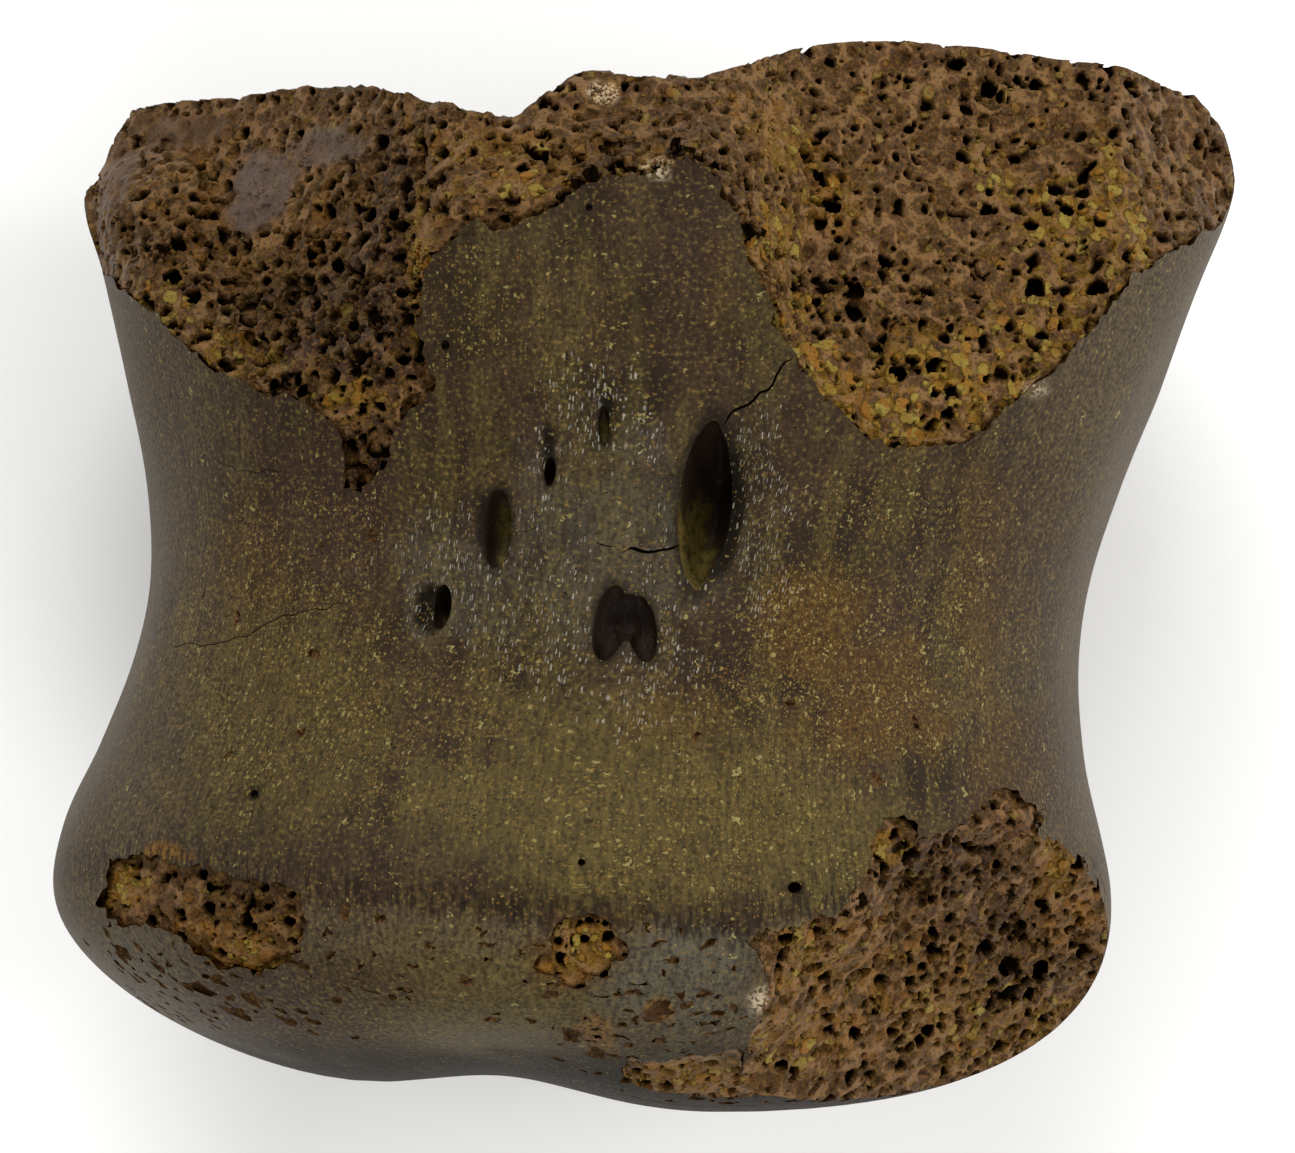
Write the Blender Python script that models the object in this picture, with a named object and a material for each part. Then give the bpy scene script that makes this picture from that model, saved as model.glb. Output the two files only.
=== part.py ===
"""Fossil dinosaur vertebra: one broken centrum, lying on the worn stumps of its neural arch.

Metres, +Z up. The belly of the centrum, with its blood-vessel holes, looks up. +X and +Y are the
width and the length of the bone, and +Y runs from the domed end to the hollow end. The origin is
under the middle of the bone, on the surface that it rests on. Sizes are written in millimetres
and turned to metres by MM.
"""

import math
from collections import namedtuple

import bmesh
import bpy
from mathutils import Matrix, Vector, geometry, noise
from mathutils.bvhtree import BVHTree

MM = 0.001

# The spool: rings across the length, from the ridge of the domed end to the lip of the hollow end.
# y is where a ring crosses the midline. left, right, belly and back are its reach, the last two
# counted from the axis. fan is how far the ring leans: its rise in y for each step in x.
Ring = namedtuple("Ring", "y left right belly back fan")
RINGS = (
    Ring(-21.0, -40.8, 32.0, 29.0, -29.6, -0.025),
    Ring(-17.0, -39.8, 31.0, 27.8, -28.2, -0.025),
    Ring(-12.0, -37.4, 29.9, 26.4, -26.4, -0.020),
    Ring(-6.0, -35.1, 29.5, 25.2, -24.9, -0.010),
    Ring(0.0, -34.0, 30.4, 24.8, -24.0, 0.000),
    Ring(6.0, -34.1, 32.5, 25.2, -24.4, 0.005),
    Ring(13.0, -35.4, 35.4, 26.8, -26.0, 0.008),
    Ring(21.0, -37.3, 38.4, 28.6, -28.2, 0.010),
    Ring(26.4, -38.9, 40.2, 29.8, -29.6, 0.015),
    Ring(28.6, -37.6, 40.0, 29.9, -29.7, 0.018),
    Ring(30.6, -36.9, 39.4, 29.8, -29.6, 0.020),
    Ring(32.6, -35.6, 37.6, 28.4, -28.2, 0.020),
)
AXIS_HEIGHT = 34.0 * MM
WIDEST_BELOW_AXIS = 4.0 * MM
SEGMENTS = 72
SIDE_RINGS = 26
SQUARENESS_LEFT = 2.6
SQUARENESS_RIGHT = 2.35
SQUARENESS_BACK = 2.2

# The domed end stands out from its ridge. The dome is full on the right and slopes on the left.
DOME_REACH = 15.4 * MM
DOME_RINGS = 9
DOME_POWER_LEFT = (2.2, 0.52)
DOME_POWER_RIGHT = (3.2, 0.46)
DOME_GROOVE_X = -9.8 * MM
DOME_GROOVE_WIDTH = 7.6 * MM
DOME_GROOVE_DEPTH = 2.1 * MM
DOME_GROOVE_FADE = 0.35

# The hollow end: a broad flat face with a shallow cup in its middle. FACE_RELIEF says how far its
# belly side stands out at each x, and the whole face leans so that this side is the further out.
CUP_SHARES = (0.97, 0.92, 0.84, 0.74, 0.64, 0.52, 0.39, 0.26, 0.12)
CUP_DEPTH = 4.5 * MM
CUP_EDGE = 0.62
LIP_ROUNDING = 0.4 * MM
LIP_ROUNDING_SHARE = 0.12
FACE_LEAN = 0.11
FACE_START = 18.0
FACE_RELIEF = (
    (-36.0, 0.8), (-28.0, -0.4), (-20.0, -0.9), (-14.5, -3.2), (-9.2, -4.6), (-4.5, -1.8),
    (4.0, -2.1), (10.0, 0.2), (15.0, 1.0), (21.0, 0.9), (27.5, 0.2), (36.0, -0.8),
)
FACE_RELIEF_FADE = (14.0 * MM, 34.0 * MM)

# The back: two stumps of the broken neural arch, worn flat, with the canal between them. The
# middle of each stump is counted from CANAL_X, on either side of it. CANAL_EDGE is how far the
# canal's roof runs out into the stumps, as a share of its half width.
CANAL_X = -1.5
STUMP_MIDDLE = (15.5, 3.5)
STUMP_HALF = (8.2, 21.0)
STUMP_SQUARENESS = 2.6
STUMP_BOTTOM = -1.6 * MM
STUMP_SHOULDER = (0.74, 1.45)
STUMP_ROUGHNESS = 1.3 * MM
STUMP_ROUGH_SPACING = 7 * MM
CANAL_HALF_WIDTH = 6.6
CANAL_ROOF_WAIST = 14.0 * MM
CANAL_ROOF_ENDS = 9.4 * MM
CANAL_WAIST_LENGTH = 16.0
CANAL_EDGE = 1.2
RIM_CARRY = 7

# The whole skin is a little uneven.
SWELL = 0.4 * MM
SWELL_SPACING = 11 * MM

# The middle of the finished bone's box, which goes to the origin.
BOX_MIDDLE = (-0.27, -0.34)

BONE_COLOUR = (0.105, 0.078, 0.058, 1.0)
BONE_ROUGHNESS = 0.45


def clear_scene():
    """Removes the startup objects."""
    for obj in list(bpy.data.objects):
        bpy.data.objects.remove(obj, do_unlink=True)


def between(value, low, high):
    """0 at low, 1 at high, eased in between."""
    t = min(max((value - low) / (high - low), 0.0), 1.0)
    return t * t * (3 - 2 * t)


def smooth_curve(xs, values, x):
    """The value at x of one smooth curve through the given points (Hermite)."""
    last = len(xs) - 1
    x = min(max(x, xs[0]), xs[last])
    k = max(i for i in range(last) if xs[i] <= x)

    def slope(i):
        low, high = max(i - 1, 0), min(i + 1, last)
        return (values[high] - values[low]) / (xs[high] - xs[low])

    step = xs[k + 1] - xs[k]
    t = (x - xs[k]) / step
    return (
        values[k] * (2 * t**3 - 3 * t**2 + 1)
        + values[k + 1] * (3 * t**2 - 2 * t**3)
        + slope(k) * step * (t**3 - 2 * t**2 + t)
        + slope(k + 1) * step * (t**3 - t**2)
    )


def ring_value(field, y):
    """A ring's field at y, on one smooth curve through the rings."""
    return smooth_curve([ring.y for ring in RINGS], [getattr(ring, field) for ring in RINGS], y)


def ring_centre(y):
    """The middle of the ring at y (in millimetres), where it is widest."""
    middle = (ring_value("left", y) + ring_value("right", y)) / 2
    return Vector((middle * MM, y * MM, AXIS_HEIGHT - WIDEST_BELOW_AXIS))


def rounded(value, squareness):
    """A sine or cosine bent so that the ring is squarer than an ellipse."""
    return math.copysign(abs(value) ** (2 / squareness), value)


def with_stumps(point):
    """The same point, moved down to a stump or up into the canal where it is on the back."""
    aside = abs(point.x / MM - CANAL_X)
    across = aside - STUMP_MIDDLE[0]
    along = point.y / MM - STUMP_MIDDLE[1]
    power = STUMP_SQUARENESS
    spread = (abs(across) / STUMP_HALF[0]) ** power + (abs(along) / STUMP_HALF[1]) ** power
    rough = noise.noise(point / STUMP_ROUGH_SPACING) * STUMP_ROUGHNESS
    share = 1 - between(spread ** (1 / power), *STUMP_SHOULDER)
    lowest = point.z + (STUMP_BOTTOM - point.z) * share
    waist = math.exp(-((along / CANAL_WAIST_LENGTH) ** 2))
    roof = CANAL_ROOF_ENDS + (CANAL_ROOF_WAIST - CANAL_ROOF_ENDS) * waist
    canal = 1 - between(aside / CANAL_HALF_WIDTH, 0, CANAL_EDGE)
    height = lowest + max(roof - lowest, 0) * canal + rough * share * (1 - canal)
    return Vector((point.x, point.y, height))


def ring_point(y, angle, plain=False):
    """A point on the side of the spool. Angle 0 is +X and a quarter turn is the belly.

    A plain point is where the skin would be without the stumps and the canal.
    """
    centre = ring_centre(y)
    rightness = (1 + math.cos(angle)) / 2
    half_width = (ring_value("right", y) - ring_value("left", y)) / 2 * MM
    if math.sin(angle) >= 0:
        squareness = SQUARENESS_LEFT + (SQUARENESS_RIGHT - SQUARENESS_LEFT) * rightness
        reach = ring_value("belly", y) * MM + WIDEST_BELOW_AXIS
    else:
        squareness = SQUARENESS_BACK
        reach = -ring_value("back", y) * MM - WIDEST_BELOW_AXIS
    across = half_width * rounded(math.cos(angle), squareness)
    up = reach * rounded(math.sin(angle), squareness)
    point = centre + Vector((across, ring_value("fan", y) * across, up))
    point.y += face_offset(point) * between(y, FACE_START, RINGS[-1].y)
    return point if plain or up > 0 else with_stumps(point)


def face_offset(point):
    """How far the face of the hollow end stands out from its flat ring at this point."""
    relief = smooth_curve(*zip(*FACE_RELIEF), point.x / MM) * MM
    belly_side = between(point.z, *FACE_RELIEF_FADE)
    return relief * belly_side + FACE_LEAN * (point.z - AXIS_HEIGHT)


def end_point(y, share, angle):
    """A point between the middle of an end ring and the ring itself, where share is 1."""
    plain = ring_point(y, angle, plain=True)
    carried = (ring_point(y, angle) - plain) * share**RIM_CARRY
    return ring_centre(y).lerp(plain, share) + carried


def dome_point(share, angle):
    """A point of the domed end: share 1 is its ridge and 0 its middle."""
    point = end_point(RINGS[0].y, share, angle)
    rightness = (1 + math.cos(angle)) / 2
    power = [
        left + (right - left) * rightness
        for left, right in zip(DOME_POWER_LEFT, DOME_POWER_RIGHT)
    ]
    point.y -= DOME_REACH * (1 - share ** power[0]) ** power[1]
    offset = (point.x - DOME_GROOVE_X) / DOME_GROOVE_WIDTH
    inwards = between(1 - share, 0, DOME_GROOVE_FADE)
    point.y += DOME_GROOVE_DEPTH * math.exp(-offset * offset) * inwards
    return point


def cup_point(share, angle):
    """A point of the hollow end: share 1 is its lip and 0 the middle of the cup."""
    last = RINGS[-1]
    point = end_point(last.y, share, angle)
    point.y = last.y * MM + last.fan * (point.x - ring_centre(last.y).x)
    point.y += face_offset(point) + LIP_ROUNDING * between(1 - share, 0, LIP_ROUNDING_SHARE)
    point.y -= CUP_DEPTH * (1 - between(share, 0, CUP_EDGE))
    return point


def angle_at(index):
    return 2 * math.pi * index / SEGMENTS


def bridge(bm, first, second):
    """Quads between two rings of vertices."""
    count = len(first)
    for i in range(count):
        j = (i + 1) % count
        bm.faces.new((first[i], first[j], second[j], second[i]))


def make_object(name, bm):
    """Turns a bmesh into an object of the scene, with its faces pointing out."""
    bmesh.ops.recalc_face_normals(bm, faces=bm.faces)
    mesh = bpy.data.meshes.new(name)
    bm.to_mesh(mesh)
    bm.free()
    obj = bpy.data.objects.new(name, mesh)
    bpy.context.scene.collection.objects.link(obj)
    return obj


def uneven(point):
    """The point, moved a little away from the bone's axis or towards it."""
    outward = Vector((point.x, 0, point.z - AXIS_HEIGHT))
    outward.normalize()
    return point + outward * noise.noise(point / SWELL_SPACING) * SWELL


def spool():
    """The whole centrum before it was broken: dome, waisted side and cup in one skin."""
    angles = [angle_at(i) for i in range(SEGMENTS)]
    rings = []
    for k in range(1, DOME_RINGS + 1):
        share = math.sin(math.pi / 2 * k / (DOME_RINGS + 1))
        rings.append([dome_point(share, a) for a in angles])
    first, last = RINGS[0].y, RINGS[-1].y
    for k in range(SIDE_RINGS + 1):
        y = first + (last - first) * k / SIDE_RINGS
        rings.append([ring_point(y, a) for a in angles])
    for share in CUP_SHARES:
        rings.append([cup_point(share, a) for a in angles])
    bm = bmesh.new()
    rows = [[bm.verts.new(uneven(p)) for p in ring] for ring in rings]
    for low, high in zip(rows, rows[1:]):
        bridge(bm, low, high)
    for row, tip in ((rows[0], dome_point(0, 0)), (rows[-1], cup_point(0, 0))):
        apex = bm.verts.new(uneven(tip))
        for i, vert in enumerate(row):
            bm.faces.new((vert, row[(i + 1) % SEGMENTS], apex))
    return make_object("vertebra", bm)


# Where the bone broke. An outline is drawn as seen from above, in millimetres. It runs past the
# edge of the bone where the break does, and past the break where the side of the bone is steep.
# The broken face is made of facets from left to right: each is a slope through a point, with its
# height there and its rise for each step in x and in y, and it holds as far as its end. Where
# the old surface was not steep, the face is at least chip under it, so its border is a step.
Break = namedtuple("Break", "name outline facets chip lumps seed")
Facet = namedtuple("Facet", "x y height rise_x rise_y end")
BREAKS = (
    Break(
        "break_hollow_end",
        (
            (-46.0, 24.5), (-41.0, 23.5), (-37.2, 20.8), (-33.3, 17.7), (-29.9, 14.9),
            (-26.3, 12.5), (-22.5, 11.7), (-20.6, 9.8), (-20.3, 5.7), (-18.0, 5.4),
            (-16.6, 8.4), (-13.4, 12.2), (-15.3, 16.4), (-14.6, 19.7), (-11.5, 23.1),
            (-6.8, 23.6), (-2.9, 25.8), (2.6, 27.3), (4.9, 25.5), (7.2, 19.2),
            (8.0, 16.4), (11.5, 11.4), (15.3, 8.9), (20.5, 8.7), (24.5, 11.7),
            (28.4, 15.3), (32.5, 19.0), (37.0, 22.0), (43.0, 25.0), (47.0, 27.0),
            (47.0, 44.0), (-46.0, 44.0),
        ),
        (
            Facet(-24.4, 12.4, 53.0, 1.10, -0.51, -13.0),
            Facet(0.0, 25.5, 62.4, 0.05, -1.02, 7.5),
            Facet(17.0, 8.7, 58.4, -0.35, -0.42, 31.0),
            Facet(31.8, 18.8, 51.5, -1.45, -0.50, 60.0),
        ),
        0.8, 0.9, 3,
    ),
    Break(
        "break_domed_end",
        (
            (6.2, -32.9), (7.0, -29.5), (7.8, -27.0), (6.4, -23.7), (10.4, -22.6),
            (13.2, -20.9), (14.8, -17.4), (16.4, -15.8), (17.8, -17.3), (20.6, -16.3),
            (23.9, -14.0), (26.4, -15.0), (31.0, -16.5), (37.0, -19.0), (37.0, -42.0),
            (10.0, -42.0), (8.0, -36.0),
        ),
        (Facet(16.0, -18.0, 57.0, -0.90, 0.90, 60.0),),
        0.8, 0.8, 27,
    ),
    Break(
        "patch_domed_end",
        (
            (-36.4, -21.1), (-35.6, -18.7), (-33.4, -18.2), (-29.2, -19.3), (-26.5, -19.6),
            (-22.6, -20.8), (-23.2, -24.5), (-25.9, -26.3), (-29.2, -25.0), (-33.6, -23.2),
        ),
        (Facet(0.0, 0.0, 70.0, 0.0, 0.0, 60.0),),
        1.1, 0.3, 41,
    ),
)
FACET_BLEND = 3.2
STEEP = 0.5
CUTTER_TOP = 80.0 * MM
GRAIN = 1.6 * MM
BORDER_STEP = 2.0 * MM
BORDER_WANDER = 0.5 * MM
BORDER_WANDER_SPACING = 2.3 * MM
BORDER_CLEARANCE = 0.55 * GRAIN
LUMP_SPACING = 8 * MM
LUMP_FINENESS = (0.6, 2.1, 3)
LUMP_CREST = 0.2
PORE_SPACING = 3.6 * MM
PORE_DEPTH = 1.1 * MM
PORE_WALL = (0.2, 0.65)


def ragged_border(item):
    """The outline with extra points between its own, each pushed a little to one side."""
    points = [Vector(p) * MM for p in item.outline]
    border = []
    for start, end in zip(points, points[1:] + points[:1]):
        steps = max(round((end - start).length / BORDER_STEP), 1)
        side = (end - start).orthogonal().normalized()
        for k in range(steps):
            place = start.lerp(end, k / steps)
            seeded = Vector((place.x, place.y, item.seed * MM))
            wander = noise.noise(seeded / BORDER_WANDER_SPACING) if k else 0
            border.append(place + side * wander * BORDER_WANDER)
    return border


def inside_border(place, border):
    """Whether a point lies inside the outline and clear of it."""
    inside = False
    for start, end in zip(border, border[1:] + border[:1]):
        nearest, share = geometry.intersect_point_line(place, start, end)
        nearest = start.lerp(end, min(max(share, 0), 1))
        if (nearest - place).length < BORDER_CLEARANCE:
            return False
        if (start.y > place.y) != (end.y > place.y):
            crossing = start.x + (place.y - start.y) / (end.y - start.y) * (end.x - start.x)
            if crossing > place.x:
                inside = not inside
    return inside


def facet_height(facet, x, y):
    return facet.height + facet.rise_x * (x - facet.x) + facet.rise_y * (y - facet.y)


def broken_height(item, place, skin):
    """The height of the broken face over a point, with its lumps and its open pores."""
    x, y = place.x / MM, place.y / MM
    height = facet_height(item.facets[0], x, y)
    for before, facet in zip(item.facets, item.facets[1:]):
        share = between(x, before.end - FACET_BLEND, before.end + FACET_BLEND)
        height += (facet_height(facet, x, y) - height) * share
    height *= MM
    hit, normal, *_ = skin.ray_cast(Vector((place.x, place.y, 1)), Vector((0, 0, -1)))
    if hit is not None and abs(normal.z) > STEEP:
        height = min(height, hit.z - item.chip * MM)
    seeded = Vector((place.x, place.y, height)) + Vector((item.seed, 0, 0))
    lump = min(noise.fractal(seeded / LUMP_SPACING, *LUMP_FINENESS), LUMP_CREST)
    near, far = noise.voronoi(seeded / PORE_SPACING)[0][:2]
    return height + item.lumps * (lump * MM - PORE_DEPTH * between(far - near, *PORE_WALL))


def break_cutter(item, skin):
    """A block over the outline, whose lower face is the broken face of the bone."""
    border = ragged_border(item)
    xs = [p.x for p in border]
    ys = [p.y for p in border]
    inner = []
    for row in range(int((max(ys) - min(ys)) / GRAIN) + 1):
        for column in range(int((max(xs) - min(xs)) / GRAIN) + 1):
            place = Vector((min(xs) + (column + row % 2 / 2) * GRAIN, min(ys) + row * GRAIN))
            if inside_border(place, border):
                inner.append(place)
    flat, _, faces, *_ = geometry.delaunay_2d_cdt(
        border + inner, [], [list(range(len(border)))], 1, 1e-7
    )
    bm = bmesh.new()
    low = [bm.verts.new((p.x, p.y, broken_height(item, p, skin))) for p in flat]
    high = [bm.verts.new((p.x, p.y, CUTTER_TOP)) for p in flat]
    for face in faces:
        bm.faces.new([low[i] for i in face])
        bm.faces.new([high[i] for i in reversed(face)])
    partner = dict(zip(low, high))
    for edge in [e for e in bm.edges if e.is_boundary and e.verts[0] in partner]:
        a, b = edge.verts
        bm.faces.new((a, b, partner[b], partner[a]))
    return make_object(item.name, bm)


# Holes for blood vessels, each an oval pit sunk in the belly. turn is in degrees about Z.
Hole = namedtuple("Hole", "x y width length depth turn")
HOLES = (
    Hole(4.0, 4.7, 3.6, 10.6, 7.5, -5),
    Hole(-2.3, -3.0, 2.4, 4.9, 5.5, 10),
    Hole(-0.4, -3.4, 2.6, 4.4, 5.5, -10),
    Hole(-9.9, 3.1, 1.9, 5.0, 4.5, -4),
    Hole(-14.0, -2.1, 2.0, 3.4, 4.0, -6),
    Hole(-6.4, 7.3, 1.0, 3.2, 2.5, -4),
    Hole(-2.9, 10.0, 0.9, 2.5, 1.8, 0),
)
HOLE_SEGMENTS = 12
HOLE_ROWS = 8

# The block that wears the stumps flat: its width and depth.
GROUND_WIDTH = 120 * MM
GROUND_DEPTH = 20 * MM


def vessel_hole(name, hole, skin):
    """The oval cutter for one hole, centred on the skin of the belly."""
    x, y = hole.x * MM, hole.y * MM
    surface = skin.ray_cast(Vector((x, y, 1)), Vector((0, 0, -1)))[0]
    size = Vector((hole.width, hole.length, 2 * hole.depth)) * MM
    turn = Matrix.Rotation(math.radians(hole.turn), 4, "Z") @ Matrix.Diagonal((*size, 1))
    bm = bmesh.new()
    bmesh.ops.create_uvsphere(
        bm, u_segments=HOLE_SEGMENTS, v_segments=HOLE_ROWS, radius=0.5
    )
    bmesh.ops.transform(bm, matrix=Matrix.Translation(surface) @ turn, verts=bm.verts)
    return make_object(name, bm)


def ground():
    """The cutter that leaves both stumps worn flat where the bone rests."""
    bm = bmesh.new()
    bmesh.ops.create_cube(bm, size=1)
    size = Matrix.Diagonal((GROUND_WIDTH, GROUND_WIDTH, GROUND_DEPTH, 1))
    middle = Matrix.Translation((0, 0, -GROUND_DEPTH / 2))
    bmesh.ops.transform(bm, matrix=middle @ size, verts=bm.verts)
    return make_object("ground", bm)


def cut(body, cutter):
    """Takes the cutter's shape out of the body, and hides the cutter."""
    cutter.parent = body.parent
    modifier = body.modifiers.new(cutter.name, "BOOLEAN")
    modifier.operation = "DIFFERENCE"
    modifier.object = cutter
    cutter.hide_render = True
    cutter.display_type = "WIRE"


def bone_material():
    """Brown mineralised bone."""
    material = bpy.data.materials.new("fossil_bone")
    material.use_nodes = True
    shader = material.node_tree.nodes["Principled BSDF"]
    shader.inputs["Base Color"].default_value = BONE_COLOUR
    shader.inputs["Roughness"].default_value = BONE_ROUGHNESS
    shader.inputs["Metallic"].default_value = 0.0
    return material


def main():
    clear_scene()
    frame = bpy.data.objects.new("bone_frame", None)
    frame.location = (-BOX_MIDDLE[0] * MM, -BOX_MIDDLE[1] * MM, 0)
    bpy.context.scene.collection.objects.link(frame)
    body = spool()
    body.parent = frame
    body.data.materials.append(bone_material())
    skin = BVHTree.FromPolygons(
        [v.co for v in body.data.vertices], [p.vertices for p in body.data.polygons]
    )
    cut(body, ground())
    for item in BREAKS:
        cut(body, break_cutter(item, skin))
    for i, hole in enumerate(HOLES):
        cut(body, vessel_hole(f"hole_{i + 1}", hole, skin))


main()
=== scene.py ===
"""Looks of a fossil dinosaur vertebra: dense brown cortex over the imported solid, broken open to
spongy bone at both ends. Shapes are worked out in millimetres and turned to metres by MM."""

import logging
import math
from dataclasses import dataclass, field
from enum import Enum
from typing import Any, Callable, NamedTuple, Sequence

import bmesh
import bpy
import numpy as np
from bpy.types import ID, Material, Mesh, Node, NodeSocket, NodeTree, Object
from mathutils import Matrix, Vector, geometry, noise
from mathutils.bvhtree import BVHTree


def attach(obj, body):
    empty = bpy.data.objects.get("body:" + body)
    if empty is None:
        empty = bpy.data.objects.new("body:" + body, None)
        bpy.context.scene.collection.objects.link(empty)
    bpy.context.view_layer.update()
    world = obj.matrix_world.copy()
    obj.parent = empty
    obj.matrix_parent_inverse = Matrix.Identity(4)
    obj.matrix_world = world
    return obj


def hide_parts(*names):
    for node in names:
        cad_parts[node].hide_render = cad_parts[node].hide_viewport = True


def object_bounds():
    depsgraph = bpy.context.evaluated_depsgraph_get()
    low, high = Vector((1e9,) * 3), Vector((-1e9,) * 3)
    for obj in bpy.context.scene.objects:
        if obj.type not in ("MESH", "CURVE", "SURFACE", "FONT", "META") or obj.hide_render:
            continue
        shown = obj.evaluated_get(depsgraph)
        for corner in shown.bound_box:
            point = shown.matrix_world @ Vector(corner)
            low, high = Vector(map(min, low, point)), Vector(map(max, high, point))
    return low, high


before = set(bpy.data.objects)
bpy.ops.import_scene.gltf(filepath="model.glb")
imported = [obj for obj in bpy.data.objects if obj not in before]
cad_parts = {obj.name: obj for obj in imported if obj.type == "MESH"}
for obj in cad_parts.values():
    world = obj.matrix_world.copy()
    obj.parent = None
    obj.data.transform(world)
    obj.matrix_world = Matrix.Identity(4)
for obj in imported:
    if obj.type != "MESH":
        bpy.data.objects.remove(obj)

CAD_BOX = [[float(v) for v in corner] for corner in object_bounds()]

MM = 0.001
NODE = "vertebra"
BODY = "root"

# The bone's own frame, in which the photograph was measured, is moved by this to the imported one.
BONE_SHIFT = np.array((0.27, 0.34, 0.0))

# The photograph's width in pixels, the size of one of them at the bone's mid height, and the
# camera's distance from there.
PHOTO_WIDTH = 1295
PIXEL = 0.0683
CAMERA_DISTANCE = 600.0

# How fast the finer octaves of random swells fade, and how much finer each one is.
OCTAVE_FADE, OCTAVE_STEP = 0.6, 2.1

# Two numbers: a place seen from above, a range, or an unevenness and its spacing.
Pair = tuple[float, float]
Array = np.ndarray

log = logging.getLogger("vertebra")


def linear(code: str) -> tuple[float, float, float, float]:
    """Turns an sRGB hex colour into Blender's linear values.

    Args:
        code: the colour as "#rrggbb".

    Returns:
        Red, green, blue and an alpha of 1.
    """
    channels = [int(code[i:i + 2], 16) / 255 for i in (1, 3, 5)]
    values = [c / 12.92 if c <= 0.04045 else ((c + 0.055) / 1.055) ** 2.4 for c in channels]
    return (values[0], values[1], values[2], 1.0)


def ease(value: Array, low: float, high: float) -> Array:
    """Rises smoothly from 0 at low to 1 at high, which may be the lower one for a fall."""
    t = np.clip((value - low) / (high - low), 0.0, 1.0)
    return t * t * (3 - 2 * t)


def window(value: Array, low: float, high: float, fade: float) -> Array:
    """Is 1 between low and high, and eases to 0 over the fade outside them."""
    return ease(value, low - fade, low) * ease(value, high + fade, high)


def curve(points: Sequence[Pair], x: Array) -> Array:
    """Reads one smooth (Hermite) curve through a few points.

    Args:
        points: the (x, value) pairs, in rising x.
        x: where to read it; past either end the end's value holds.

    Returns:
        The curve's value at each x.
    """
    xs, values = (np.array(column, float) for column in zip(*points))
    before = np.maximum(np.arange(len(xs)) - 1, 0)
    after = np.minimum(np.arange(len(xs)) + 1, len(xs) - 1)
    slopes = (values[after] - values[before]) / (xs[after] - xs[before])
    x = np.clip(x, xs[0], xs[-1])
    k = np.clip(np.searchsorted(xs, x, side="right") - 1, 0, len(xs) - 2)
    step = xs[k + 1] - xs[k]
    t = (x - xs[k]) / step
    return (
        values[k] * (2 * t**3 - 3 * t**2 + 1)
        + values[k + 1] * (3 * t**2 - 2 * t**3)
        + slopes[k] * step * (t**3 - 2 * t**2 + t)
        + slopes[k + 1] * step * (t**3 - t**2)
    )


def wander(points: Array, spacing: float, octaves: int = 1) -> Array:
    """Soft random values that drift from place to place.

    Args:
        points: places in millimetres, one row each.
        spacing: the distance over which the value changes, in millimetres.
        octaves: 1 for plain swells, more to add finer ones.

    Returns:
        About -1 to 1 for each place.
    """
    rows = points / spacing
    if octaves == 1:
        return np.array([noise.noise(row) for row in rows.tolist()])
    shape = (OCTAVE_FADE, OCTAVE_STEP, octaves)
    return np.array([noise.fractal(row, *shape) for row in rows.tolist()])


def make_mesh(name: str, points: Array, faces: Sequence[Sequence[int]]) -> Mesh:
    """Makes a mesh from places in the bone's own frame.

    Args:
        name: the mesh's name.
        points: places in millimetres, one row each.
        faces: vertex numbers of each face, counter-clockwise from outside.

    Returns:
        The mesh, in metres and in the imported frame.
    """
    mesh = bpy.data.meshes.new(name)
    mesh.from_pydata(((points + BONE_SHIFT) * MM).tolist(), [], faces)
    mesh.validate()
    return mesh


def make_object(name: str, data: ID) -> Object:
    """Puts a mesh, a light or a camera in the scene, unturned, at the origin.

    Args:
        name: the object's name.
        data: the mesh, light or camera.

    Returns:
        The object.
    """
    obj = bpy.data.objects.new(name, data)
    bpy.context.scene.collection.objects.link(obj)
    return obj


def discard(obj: Object) -> None:
    """Deletes an object and its mesh."""
    mesh = obj.data
    bpy.data.objects.remove(obj)
    bpy.data.meshes.remove(mesh)


def read(items: Any, name: str, width: int = 1, kind: type = np.float32) -> Array:
    """Reads one property of all the vertices, corners or faces of a mesh.

    Args:
        items: the mesh's vertices, loops or polygons.
        name: the property.
        width: how many numbers it has.
        kind: their type.

    Returns:
        The numbers, one row for each item where it has more than one.
    """
    values = np.empty(len(items) * width, kind)
    items.foreach_get(name, values)
    return values.reshape(-1, width) if width > 1 else values


def places(mesh: Mesh) -> Array:
    """The mesh's vertices in the bone's own frame, in millimetres, one row each."""
    return read(mesh.vertices, "co", 3).astype(float) / MM - BONE_SHIFT


def move(mesh: Mesh, point: Array) -> None:
    """Moves the mesh's vertices to places in the bone's own frame, one row each."""
    values = ((point + BONE_SHIFT) * MM).astype(np.float32)
    mesh.vertices.foreach_set("co", values.ravel())


def settle(obj: Object) -> None:
    """Applies the object's modifiers, so that its mesh is plain."""
    graph = bpy.context.evaluated_depsgraph_get()
    mesh = bpy.data.meshes.new_from_object(obj.evaluated_get(graph), depsgraph=graph)
    obj.modifiers.clear()
    old = obj.data
    obj.data = mesh
    bpy.data.meshes.remove(old)


class Cut(Enum):
    """What a Boolean keeps of the piece it works on."""

    OUTSIDE = "DIFFERENCE"
    INSIDE = "INTERSECT"


def trim(obj: Object, tools: Sequence[Object], kind: Cut) -> None:
    """Cuts a piece with closed tools, one after the other, and deletes the tools.

    Args:
        obj: the piece.
        tools: closed meshes in the same frame.
        kind: which side of the tools is kept.
    """
    for tool in tools:
        modifier = obj.modifiers.new(tool.name, "BOOLEAN")
        modifier.operation = kind.value
        modifier.solver = "MANIFOLD"
        modifier.object = tool
    settle(obj)
    for tool in tools:
        discard(tool)


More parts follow.
